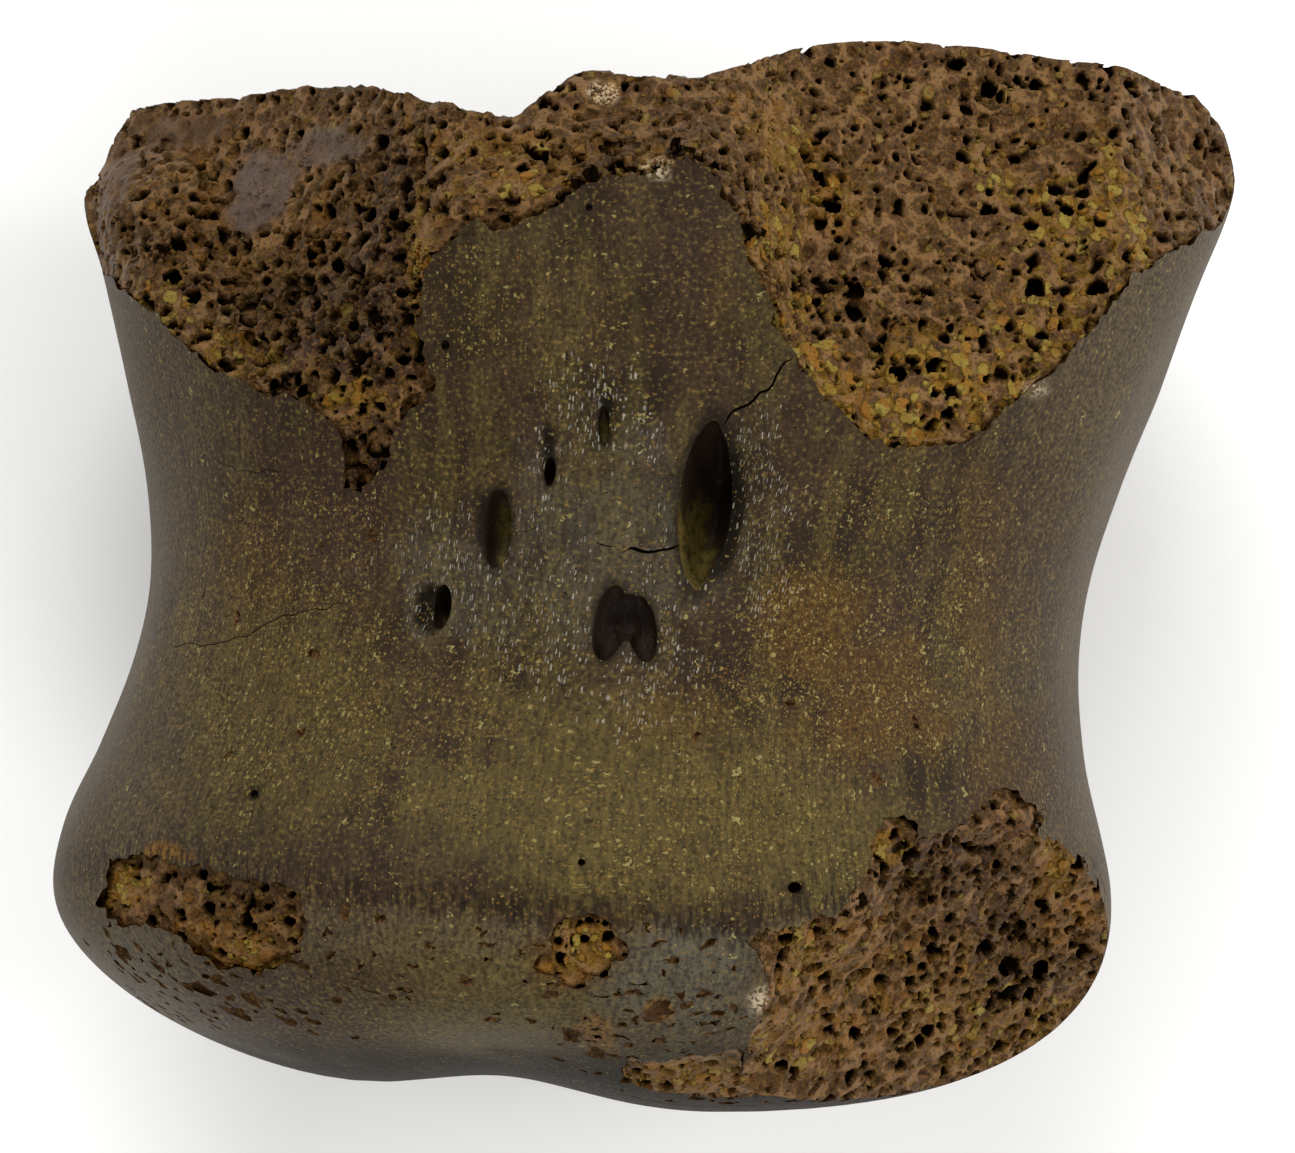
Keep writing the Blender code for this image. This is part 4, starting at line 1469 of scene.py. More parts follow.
@dataclass(frozen=True)
class Crack:
    """A hairline crack along a ragged line over the belly."""

    name: str
    line: tuple[Pair, ...]
    width: float = 0.2
    depth: float = 0.8
    step: float = 0.28
    ragged: Pair = (0.3, 0.9)
    uneven: Pair = (0.4, 1.5)
    taper_steps: int = 4
    taper_least: float = 0.12
    rise: float = 0.4
    seed: float = 7.7

    def cutter(self, surface: Surface) -> Object:
        """Makes the crack's closed wedge.

        Args:
            surface: the skin.

        Returns:
            The cutter.
        """
        corners = np.array(self.line)
        lengths = np.linalg.norm(np.diff(corners, axis=0), axis=1)
        along = np.append(0, np.cumsum(lengths))
        count = max(int(along[-1] / self.step), 3)
        where = np.linspace(0, along[-1], count)
        path = np.stack([np.interp(where, along, corners[:, i]) for i in (0, 1)], -1)
        seeded = np.column_stack((path, np.full(count, self.seed)))
        ragged, spacing = self.ragged
        for i in (0, 1):
            path[1:-1, i] += wander(seeded + 50 * i, spacing)[1:-1] * ragged
        way = np.gradient(path, axis=0)
        side = np.column_stack((-way[:, 1], way[:, 0]))
        side /= np.linalg.norm(side, axis=1)[:, None]
        from_end = np.minimum(np.arange(count), count - 1 - np.arange(count))
        taper = np.clip(from_end / self.taper_steps, self.taper_least, 1)
        uneven, spacing = self.uneven
        half = (self.width / 2) * taper * (1 + uneven * wander(seeded + 9, spacing))
        heights = np.array([surface.over(*p)[0] for p in path.tolist()])
        left, right = path + side * half[:, None], path - side * half[:, None]
        points = np.concatenate((
            np.column_stack((left, heights + self.rise)),
            np.column_stack((right, heights + self.rise)),
            np.column_stack((path, heights - self.depth * taper)),
        ))
        faces = [(0, count, 2 * count), (count - 1, 3 * count - 1, 2 * count - 1)]
        for i in range(count - 1):
            a, b, c = i, count + i, 2 * count + i
            faces += [(a, a + 1, b + 1, b), (a, c, c + 1, a + 1), (b, b + 1, c + 1, c)]
        cutter = make_object(self.name, make_mesh(self.name, points, faces))
        bm = bmesh.new()
        bm.from_mesh(cutter.data)
        bmesh.ops.recalc_face_normals(bm, faces=bm.faces)
        bm.to_mesh(cutter.data)
        bm.free()
        return cutter


# The cracks: a line from end to end, the width and the depth.
CRACKS = (
    Crack("crack_to_big_hole", (
        (4.8, 9.4), (5.3, 10.2), (5.7, 10.9), (6.9, 11.5), (7.8, 12.2), (8.8, 13.7), (9.8, 14.5)),
        0.26),
    Crack("crack_between_holes", (
        (3.2, 2.4), (2.1, 2.1), (0.9, 1.75), (-0.4, 1.6), (-1.2, 1.75), (-1.9, 1.5)), 0.32),
    Crack("crack_past_the_holes", ((-1.3, 1.6), (-2.1, 1.75), (-2.9, 2.0), (-4.1, 2.4)), 0.12, 0.5),
    Crack("crack_beside_left_hole", ((-8.9, 3.1), (-7.4, 3.1), (-6.2, 3.9)), 0.11, 0.5),
    Crack("crack_between_left_holes", ((-11.0, 1.8), (-11.8, 1.2), (-12.8, 0.1)), 0.1, 0.4),
    Crack("crack_left_flank_sheen", (
        (-32.6, -4.6), (-29.8, -4.6), (-26.6, -4.0), (-25.2, -3.0), (-23.2, -2.5), (-21.3, -2.0),
        (-19.2, -1.6)), 0.11, 0.5),
    Crack("crack_upper_left", (
        (-29.0, 7.7), (-27.2, 7.0), (-25.6, 7.0), (-24.2, 6.9), (-23.4, 7.0)), 0.1, 0.4),
)

# A facet above the bone, for a break that follows the old skin.
ALONG_SKIN = (Facet(0.0, 0.0, 70.0, 0.0, 0.0, 60.0),)

# The big break across the hollow end's rim, the one at the domed end's right, and three small
# places on the domed end's lip.
BREAK_HOLLOW_END = Break(
    "break_hollow_end",
    (
        (-46, 24.5), (-41, 23.5), (-37.2, 20.8), (-35.1, 19.3), (-33.3, 17.7), (-31.4, 15.9),
        (-29.9, 14.9), (-28, 13.4), (-26.3, 12.5), (-24.1, 12.1), (-22.5, 11.7), (-21, 10.3),
        (-20.3, 9.6), (-20, 5.8), (-18.8, 5.5), (-17.3, 7), (-16.6, 9.6), (-14.5, 11.6),
        (-13.4, 12.4), (-14.3, 13.7), (-15.3, 16.4), (-14.9, 17.8), (-14.6, 19.7), (-13.4, 21.3),
        (-11.5, 23.1), (-9.6, 22.6), (-6.8, 23.6), (-4.5, 25.2), (-2.9, 25.8), (0.4, 26.2),
        (1.7, 26.8), (2.6, 27.4), (3.7, 26.6), (4.9, 25.5), (6.2, 22.5), (7.2, 19.2), (8.4, 17.5),
        (8, 16.4), (9.5, 14.8), (10.3, 13.3), (11.5, 11.4), (13.4, 10.1), (15.3, 9.1), (16.2, 8.4),
        (18.2, 8.6), (20.5, 8.8), (22.6, 9.8), (24.5, 11.7), (26.4, 13.2), (28.4, 15.3),
        (30.9, 18.3), (32.9, 20.2), (34.6, 21.6), (37.1, 23), (43, 25.6), (47, 27), (47, 44),
        (-46, 44),
    ),
    (
        Facet(-24.4, 12.4, 53.0, 1.10, -0.51, -13.0),
        Facet(0.0, 25.5, 62.4, 0.05, -1.02, 7.5),
        Facet(17.0, 8.7, 58.4, -0.35, -0.42, 31.0),
        Facet(31.8, 18.8, 51.5, -1.45, -0.50, 60.0),
    ),
    chip=0.45, lumps=0.95, seed=3,
)
BREAK_DOMED_END = Break(
    "break_domed_end",
    (
        (6.2, -32.9), (6.7, -30.4), (7.4, -28.3), (7.8, -27.3), (7.6, -25.3), (6.3, -23.7),
        (7.5, -23.2), (9.1, -22.8), (10, -22.9), (10.9, -21.6), (12.2, -22.2), (13.2, -20.9),
        (14.2, -19.5), (14.8, -17.4), (15.4, -16.4), (16.4, -15.8), (17.8, -16.3), (17.6, -17.4),
        (19.1, -16.9), (20.6, -16.3), (22, -15), (23.6, -14), (24.7, -14.2), (26, -15.6),
        (28.4, -16.6), (31, -17), (37, -19), (37, -42), (10, -42), (8, -36),
    ),
    (Facet(16.0, -18.0, 57.0, -0.90, 0.90, 60.0),),
    chip=0.45, lumps=0.9, seed=27,
)
PATCH_DOMED_END = Break(
    "patch_domed_end",
    (
        (-36.4, -21.1), (-35.8, -18.7), (-33.4, -18.2), (-31, -18.9), (-29.2, -19.3),
        (-26.5, -19.8), (-24.4, -20), (-22.6, -20.8), (-22.2, -22.6), (-22.6, -24.5),
        (-24.2, -25.6), (-25.9, -26.3), (-27.6, -25.9), (-29.2, -25), (-30.7, -23.8),
        (-33.6, -23.2), (-36.3, -23),
    ),
    ALONG_SKIN, chip=1.0, lumps=0.3, seed=41,
)
CHIP_DOMED_END = Break(
    "chip_domed_end",
    (
        (-1.4, -31.6), (-0.4, -32), (2.2, -31.7), (4.4, -31.4), (6, -31), (6.3, -32.9),
        (8.4, -36.5), (9, -38.5), (-3, -38.5), (-1.6, -34),
    ),
    (Facet(3.0, -32.0, 53.6, 0.0, 1.6, 60.0),),
    chip=0.8, lumps=0.35, seed=53, steep=0.45,
)
WORN_DOMED_END = Break(
    "worn_domed_end",
    (
        (-6.4, -23.6), (-5.9, -22.6), (-5, -22.2), (-3.9, -21.9), (-2.9, -22.2), (-2.2, -23.2),
        (-1.3, -24), (-1.3, -24.8), (-2.4, -25.1), (-2.9, -26.2), (-3.9, -26), (-4.4, -26.9),
        (-5.6, -26.2), (-6.8, -25.9), (-7.3, -25), (-6.3, -24.7),
    ),
    ALONG_SKIN, chip=0.35, lumps=0.3, seed=61,
)

# The crusts: which break each belongs to, and how far it reaches across and along.
CRUSTS = (
    Crust("spongy_bone_left", BREAK_HOLLOW_END, (-44.0, -12.0), (4.0, 37.5)),
    Crust("spongy_bone_middle", BREAK_HOLLOW_END, (-12.0, 8.0), (14.0, 37.5)),
    Crust("spongy_bone_right", BREAK_HOLLOW_END, (8.0, 44.0), (7.0, 37.5)),
    Crust("spongy_bone_domed_end", BREAK_DOMED_END, (5.0, 36.0), (-38.5, -13.0)),
    Crust("spongy_bone_patch", PATCH_DOMED_END, (-38.5, -20.5), (-28.0, -16.5)),
    Crust("spongy_bone_chip", CHIP_DOMED_END, (-3.5, 9.5), (-39.0, -30.0)),
    Crust("spongy_bone_worn", WORN_DOMED_END, (-8.5, 0.0), (-28.0, -20.5)),
)


def wear(obj: Object, lining: Lining) -> Object:
    """Gives a cutter the finish that its cut faces will show, and returns it."""
    count = len(obj.data.polygons)
    obj.data.polygons.foreach_set("material_index", np.full(count, lining.value, np.int32))
    return obj


@dataclass
class DenseBody:
    """The dense bone of the whole centrum: its skin, the recesses under the breaks, the holes."""

    name: str = "dense_bone"
    spool: Spool = field(default_factory=Spool)
    pits: Pits = field(default_factory=Pits)
    grain_radius: float = 31.0
    squareness: float = 2.45
    hull_inset: float = 0.02
    sharp_angle: float = 38.0
    belly_height: float = 50.0
    back_height: float = 26.0
    stump_height: float = 3.0
    upward_heights: Pair = (26.0, 40.0)
    pale_heights: Pair = (50.0, 53.0)
    funnel_start: float = 0.8
    dish_wall: Pair = (0.3, 1.15)
    bend_core: float = 0.9
    bend_reach: Pair = (1.4, 3.0)
    middle_row: float = 5.0
    side_rows: float = 22.0
    rim_start: float = 29.5
    rim_end: float = 31.5
    rim_ragged: Pair = (1.6, 5.0)
    rim_limit: float = 0.75
    lip_ragged: Pair = (0.7, 1.6)
    lip_edge: Pair = (-0.2, 0.9)
    fringe: Pair = (-3.2, -0.6)
    # Where the paler colour painted as sheen on the steep flanks starts and where it is full,
    # measured across from the middle.
    flank_sheen: Pair = (20.0, 33.0)
    flank_middle: float = -2.0
    cup_start: float = 20.0
    cup_edge: Pair = (0.97, 0.9)
    # Painted shade: how dark it is in the funnels round the holes and over what spread it fades
    # there, over what spread it fades in the dishes, and how dark it is along the domed end's lower
    # edge, over which rows and with what wander.
    funnel_shade: float = 0.8
    funnel_halo: Pair = (1.0, 1.35)
    dish_halo: Pair = (0.75, 1.0)
    edge_shade: float = 0.9
    edge_shade_rows: Pair = (-29.5, -33.0)
    edge_shade_spacing: float = 3.0
    stump_pits: float = 0.2
    back_pits: float = 0.02
    rim_pits: float = 0.7

    def skin(self) -> Object:
        """Makes the whole skin, with the dishes and funnels round the holes.

        Returns:
            The closed skin. Its faces along the broken rim wear the spongy finish.
        """
        mesh = self.spool.mesh()
        point = places(mesh)
        belly = point[:, 2] > self.belly_height
        sunk = np.zeros(len(point))
        for hole in FORAMINA:
            if hole.funnel:
                share = 1 - ease(hole.spread(point), self.funnel_start, 1.0 + hole.reach)
                sunk = np.maximum(sunk, hole.funnel * share)
        for dish in DISHES:
            share = 1 - ease(dish.spread(point), *self.dish_wall)
            sunk = np.maximum(sunk, dish.depth * share)
        point[:, 2] -= sunk * belly
        move(mesh, point)
        rough = self.spool.rim_damage(point) * (point[:, 1] > self.rim_start)
        ragged, spacing = self.rim_ragged
        rough *= 1 + ragged * wander(point, spacing, octaves=3)
        corner = read(mesh.loops, "vertex_index", kind=np.int32)
        first = read(mesh.polygons, "loop_start", kind=np.int32)
        broken = rough[corner[first]] > self.rim_limit
        mesh.polygons.foreach_set("material_index", broken.astype(np.int32))
        return make_object(self.name, mesh)

    def hull(self, skin: Object) -> Object:
        """Makes the slightly smaller skin that trims the crusts.

        Args:
            skin: the whole skin.

        Returns:
            The hull; its faces wear the crusts' second finish where the skin is dense.
        """
        mesh = skin.data.copy()
        move(mesh, places(mesh) - read(mesh.vertices, "normal", 3) * self.hull_inset)
        index = read(mesh.polygons, "material_index", kind=np.int32)
        mesh.polygons.foreach_set("material_index", 1 - index)
        return make_object("hull", mesh)

    def flow(self, point: Array) -> Array:
        """Places measured along the bone's surface, so that its grain fans out with it.

        Args:
            point: places, one row each.

        Returns:
            For each, the way round from the middle of the belly, the way along the surface
            from end to end, and the share of the way out from the axis.
        """
        y = point[:, 1]
        middle = self.spool.centre(y)
        half = (self.spool.value("right", y) - self.spool.value("left", y)) / 2
        over = point[:, 2] - middle[:, 2]
        below = self.spool.widest_below_axis
        reach = np.where(
            over >= 0, self.spool.value("belly", y) + below, -self.spool.value("back", y) - below
        )
        across, up = (point[:, 0] - middle[:, 0]) / half, over / reach
        power = self.squareness
        out = (np.abs(across) ** power + np.abs(up) ** power) ** (1 / power)
        angle = np.arctan2(
            np.sign(across) * np.abs(across) ** (power / 2),
            np.sign(up) * np.abs(up) ** (power / 2),
        )
        aside = y - self.middle_row
        inward = np.maximum(1 - out, 0) * half * (np.abs(aside) > self.side_rows)
        along = y + np.sign(aside) * inward
        round_way = angle * self.grain_radius
        for hole in FORAMINA:
            away = np.maximum(hole.spread(point), self.bend_core)
            fade = (1 - ease(away, *self.bend_reach)) * (over > 0) * hole.bend
            round_way -= (point[:, 0] - hole.x) / away**2 * fade
        return np.stack((round_way, along, out), -1)

    def dress(self, obj: Object) -> None:
        """Stores on the vertices what the materials read, and shades the piece.

        Args:
            obj: a finished piece.
        """
        mesh = obj.data
        point = places(mesh)
        drift = ragged_edge(point)
        upward, top = (ease(point[:, 2], *h) for h in (self.upward_heights, self.pale_heights))
        flow = self.flow(point)
        put(mesh, "flow", flow)
        for name, groups in (
            ("stain", (OLIVE_PATCHES, OCHRE_PATCHES, VIOLET_PATCHES)),
            ("detail", (SPECK_PATCHES, PAINTED_GLINT_PATCHES, BLUE_PATCHES)),
            ("wear", (PAD_PATCHES, PALE_PATCHES, MINERAL_PATCHES)),
            ("tone", (ORANGE_PATCHES, SCAR_PATCHES, RIM_PATCHES)),
        ):
            shown = (top if regions is PALE_PATCHES else upward for regions in groups)
            values = [patchy(point, regions, drift) * near for regions, near in zip(groups, shown)]
            put(mesh, name, np.stack(values, -1))
        ragged, spacing = self.lip_ragged
        edge = np.interp(point[:, 0], *zip(*LIP_LINE))
        edge = edge - point[:, 1] + wander(point, spacing, octaves=2) * ragged
        lip = ease(edge, *self.lip_edge)
        fringe = ease(edge, *self.fringe) * (1 - lip) * upward
        # Paler colour on the steep flanks: painted sheen.
        flank_sheen = ease(np.abs(point[:, 0] - self.flank_middle), *self.flank_sheen) * (1 - lip)
        hollow = ease(flow[:, 2], *self.cup_edge) * (point[:, 1] > self.cup_start)
        hollow = np.maximum(hollow, ease(point[:, 1], self.rim_start, self.rim_end))
        put(mesh, "region", np.stack((np.maximum(lip, hollow), flank_sheen, fringe), -1))
        # Painted shade: a near-black colour in the funnels and dishes round the holes and along the
        # domed end's lower edge, which also dulls the shine there.
        shade = np.zeros(len(point))
        for hole in FORAMINA:
            if hole.funnel:
                halo = self.funnel_shade * (1 - ease(hole.spread(point), *self.funnel_halo))
                shade = np.maximum(shade, halo)
        for dish in DISHES:
            shade = np.maximum(shade, 1 - ease(dish.spread(point), *self.dish_halo))
        row = point[:, 1] + wander(point, self.edge_shade_spacing)
        under = self.edge_shade * ease(row, *self.edge_shade_rows)
        put(mesh, "halo", np.maximum(shade, under) * upward)
        mesh.shade_smooth()
        mesh.set_sharp_from_angle(angle=math.radians(self.sharp_angle))

    def build(
        self, skin: Object, surface: Surface, finishes: Sequence[Material]
    ) -> None:
        """Cuts the breaks' recesses, the holes, the cracks and the pits out of the skin.

        Args:
            skin: the whole skin.
            surface: the same, for heights.
            finishes: the dense bone's, the spongy bone's and the vessels' materials.
        """
        point = places(skin.data)
        back, stump = point[:, 2] < self.back_height, point[:, 2] < self.stump_height
        pitted = patchy(point, PITTED_PATCHES, ragged_edge(point)) * ~back
        pitted = np.maximum(pitted, self.stump_pits * stump + self.back_pits * back)
        rim = self.spool.rim_damage(point) * (point[:, 1] > self.rim_start)
        pitted = np.maximum(pitted, self.rim_pits * rim)
        put(skin.data, "pitted", pitted)
        breaks = {crust.source.name: crust.source for crust in CRUSTS}
        tools = [wear(b.tool(Floor.RECESS, surface), Lining.SPONGY) for b in breaks.values()]
        tools += [wear(hole.cutter(surface), hole.lining) for hole in FORAMINA]
        tools += [wear(crack.cutter(surface), Lining.VESSEL) for crack in CRACKS]
        tools.append(wear(self.pits.cutters(skin, finishes[1]), Lining.SPONGY))
        for finish in finishes:
            skin.data.materials.append(finish)
        trim(skin, tools, Cut.OUTSIDE)
        self.dress(skin)


def start_shader(name: str) -> tuple[Material, NodeTree, Node]:
    """Starts a material.

    Args:
        name: its name.

    Returns:
        The material, its tree, and a node that gives the place on the object in millimetres.
    """
    material = bpy.data.materials.new(name)
    material.use_nodes = True
    tree = material.node_tree
    tree.nodes.clear()
    place = add(tree, "ShaderNodeTexCoord").outputs["Object"]
    return material, tree, add(tree, VECTOR, {0: place, "Scale": 1 / MM}, operation="SCALE")


def lay_coats(tree: NodeTree, ground: Any, coats: Sequence[tuple[Any, Any, Any]]) -> Node:
    """Lays coats of colour over one another.

    Args:
        tree: the node tree.
        ground: the first colour.
        coats: for each coat its two shares, multiplied by one another, and its colour.

    Returns:
        The node that gives the last colour.
    """
    for first, second, colour in coats:
        share = add(tree, MATH, {0: first, 1: second}, operation="MULTIPLY", use_clamp=True)
        ground = add(tree, MIX, {"Factor": share, "A": ground, "B": colour}, data_type="RGBA")
    return ground


def end_shader(
    tree: NodeTree, finish: Any, colour: Any, roughness: Any, height: Any, shine: Any
) -> None:
    """Links the results to the surface.

    Args:
        tree: the node tree.
        finish: gives relief, the height of the fine relief in millimetres, and ior.
        colour: the base colour.
        roughness: the roughness.
        height: the fine relief, from 0 to 1.
        shine: the strength of the mirror part, 0.5 where the surface is clean and whole.
    """
    relief = {"Height": height, "Distance": finish.relief * MM, "Strength": 1.0}
    links = {"Base Color": colour, "Roughness": roughness, "Specular IOR Level": shine,
             "IOR": finish.ior, "Metallic": 0.0, "Normal": add(tree, "ShaderNodeBump", relief)}
    surface = add(tree, "ShaderNodeBsdfPrincipled", links)
    add(tree, "ShaderNodeOutputMaterial", {"Surface": surface})


class Fleck(NamedTuple):
    """A kind of small spots: millimetres apart, length to width, radii, share of cells."""

    apart: float
    stretch: float
    least: float
    most: float
    chance: float


@dataclass(frozen=True)
class DenseBoneFinish:
    """Fossil cortical bone: apatite stained by iron and manganese, worn smooth.

    It gives the eye a satin dark brown with a faint lengthwise grain, sprinkled with golden
    mineral where the bone's fine canals come out. A film of dust in them dulls its mirror part.
    Some light and shade is painted into the colour: the paler flanks are painted sheen, pale
    dashes round the holes are painted highlights with a stronger mirror part of their own,
    near-black colour round the holes and along the domed end's lower edge is painted shade,
    and black pinholes are painted shade of tiny holes.
    """

    name: str = "dense fossil bone"
    dark: str = "#20170e"
    brown: str = "#3b2c1d"
    olive: str = "#574b27"
    ochre: str = "#4f3713"
    violet: str = "#3b2b21"
    blue: str = "#565244"
    lip: str = "#5a4e3a"
    # Paler grey-brown of the steep flanks: painted sheen.
    flank_sheen: str = "#534736"
    fringe: str = "#1a130c"
    # Painted shade round the holes and along the domed end's lower edge.
    halo: str = "#15120e"
    pad: str = "#76511b"
    pale: str = "#b3a184"
    speck: str = "#7f6c36"
    straw: str = "#8d8150"
    amber: str = "#6c481c"
    # Pale dashes round the holes: painted highlights, which also get a stronger mirror part.
    painted_glint: str = "#857f70"
    # Black pinholes painted in colour alone: the shade inside tiny holes.
    painted_pinhole_shade: str = "#0a0705"
    ior: float = 1.5
    shine: float = 0.08
    glint_shine: float = 0.5
    relief: float = 0.06
    flecks: tuple[Fleck, ...] = (
        Fleck(0.2, 1.3, 0.16, 0.4, 0.65), Fleck(0.4, 1.25, 0.1, 0.3, 0.4),
        Fleck(1.3, 1.2, 0.05, 0.15, 0.35), Fleck(0.15, 4.4, 0.16, 0.38, 0.55),
        Fleck(1.1, 1.0, 0.03, 0.09, 0.4),
    )

    def material(self) -> Material:
        """Builds the material."""
        material, tree, place = start_shader(self.name)
        flow = add(tree, STORED, attribute_name="flow").outputs["Vector"]
        # How strongly shade is painted at each place.
        halo = add(tree, STORED, attribute_name="halo").outputs["Fac"]
        olive, ochre, violet, specks, painted_glint, blue, pad, pale, _, lip, flank_sheen, fringe = (
            output for name in ("stain", "detail", "wear", "region") for output in
            add(tree, PARTS, {0: add(tree, STORED, attribute_name=name).outputs["Vector"]}).outputs
        )
        fibre, streak = (
            add(tree, NOISE, {"Vector": add(tree, VECTOR, {0: flow, 1: size}, operation="MULTIPLY"),
                              "Scale": 1.0, "Detail": 2.0}, noise_dimensions="2D")
            for size in ((1 / 0.26, 1 / 1.6, 0.0), (1 / 2.0, 1 / 11.0, 0.0))
        )
        mottle = add(tree, NOISE, {"Vector": place, "Scale": 1 / 5.0, "Detail": 2.0})
        fine = add(tree, NOISE, {"Vector": place, "Scale": 1 / 0.3, "Detail": 2.0})
        worn = add(tree, MATH, {0: fine, 1: 1.3, 2: pad}, operation="MULTIPLY_ADD")
        step = {
            name: add(tree, RANGE, dict(zip(STEP, row)), **SOFT)
            for name, row in {
                "mottle": (mottle, 0.38, 0.62, 0.0, 0.8), "streak": (streak, 0.42, 0.64, 0.0, 0.4),
                "ragged": (fine, 0.3, 0.62, 0.55, 1.0), "shade": (fibre, 0.36, 0.66, 0.0, 0.42),
                "crumb": (fine, 0.52, 0.66, 0.0, 0.6), "bright": (fine, 0.45, 0.3, 0.0, 0.35),
                "flake": (fine, 0.44, 0.54, 0.0, 1.0), "strand": (fibre, 0.46, 0.6, 0.1, 0.65),
                "thick": (specks, 0.0, 1.0, 0.16, 1.1), "drift": (mottle, 0.35, 0.65, 0.5, 1.3),
                "worn": (worn, 0.95, 1.1, 0.0, 1.0),
            }.items()
        }
        side = add(tree, MATH, {0: 1.0, 1: lip}, operation="SUBTRACT")
        colour = lay_coats(tree, self.brown, (
            (step["mottle"], 1.0, self.dark), (step["streak"], side, self.olive),
            # The paler flank colour on this line is painted sheen on the steep sides.
            (flank_sheen, 0.75, self.flank_sheen), (lip, 0.7, self.lip),
            (olive, step["ragged"], self.olive), (ochre, step["ragged"], self.ochre),
            (violet, step["ragged"], self.violet), (blue, step["ragged"], self.blue),
            (step["worn"], pad, self.pad), (step["shade"], 1.0, self.dark),
            (step["crumb"], 1.0, self.dark), (step["bright"], 1.0, self.speck),
            # The near-black colour laid by the shade attribute on this line is painted shade round
            # the holes and along the domed end's lower edge.
            (fringe, step["strand"], self.fringe), (halo, 0.92, self.halo),
            (pale, step["flake"], self.pale),
        ))
        thick = add(tree, MATH, {0: step["thick"], 1: step["drift"]}, operation="MULTIPLY")
        nudge = add(tree, VECTOR, {0: fine.outputs["Color"], 1: (1.0, 1.0, 0.0),
                                   2: (-0.5, -0.5, 0.0)}, operation="MULTIPLY_ADD")
        spots = []
        for fleck, crowd in zip(self.flecks, (thick, thick, thick, painted_glint, 1.0)):
            size = (1 / fleck.apart, 1 / fleck.apart / fleck.stretch, 0.0)
            where = add(tree, VECTOR, {0: flow, 1: size, 2: nudge}, operation="MULTIPLY_ADD")
            cell = add(tree, CELLS, {"Vector": where, "Scale": 1.0}, voronoi_dimensions="2D")
            chance = add(tree, PARTS, {0: cell.outputs["Color"]}).outputs
            limit = add(tree, MATH, {0: crowd, 1: fleck.chance}, operation="MULTIPLY")
            chosen = add(tree, MATH, {0: chance[0], 1: limit}, operation="LESS_THAN")
            inputs = {"Value": chance[1], "To Min": fleck.least, "To Max": fleck.most}
            radius = add(tree, RANGE, inputs)
            inner = add(tree, MATH, {0: radius, 1: 0.6}, operation="MULTIPLY")
            spot = add(tree, RANGE, dict(zip(STEP, (cell, inner, radius, 1.0, 0.0))), **SOFT)
            spots.append((add(tree, MATH, {0: spot, 1: chosen}, operation="MULTIPLY"), chance[2]))
        tiny, small, large, dash, hole = (spot for spot, _ in spots)
        golds = [
            add(tree, MIX, {"Factor": spots[i][1], "A": one, "B": other}, data_type="RGBA")
            for i, one, other in ((0, self.speck, self.amber), (1, self.straw, self.speck))
        ]
        # The pale colour of the dashes below is a painted highlight, and the black of the pinholes
        # is painted shade.
        colour = lay_coats(tree, colour, (
            (tiny, 0.6, golds[0]), (small, 0.7, golds[1]), (large, 0.8, self.straw),
            (dash, spots[3][1], self.painted_glint), (hole, 0.95, self.painted_pinhole_shade),
            (step["crumb"], pad, self.fringe),
        ))
        rough = add(tree, RANGE, dict(zip(STEP, (fibre, 0.3, 0.7, 0.6, 0.48))))
        height = add(tree, MATH, {0: fibre, 1: 0.6, 2: fine}, operation="MULTIPLY_ADD")
        shine = add(tree, MATH, {0: dash, 1: self.glint_shine, 2: self.shine},
                    operation="MULTIPLY_ADD")
        # Where shade is painted, the mirror part is dulled as well.
        dull = add(tree, MATH, {0: halo, 1: -0.7, 2: 1.0}, operation="MULTIPLY_ADD")
        shine = add(tree, MATH, {0: shine, 1: dull}, operation="MULTIPLY")
        end_shader(tree, self, colour, rough, height, shine)
        return material


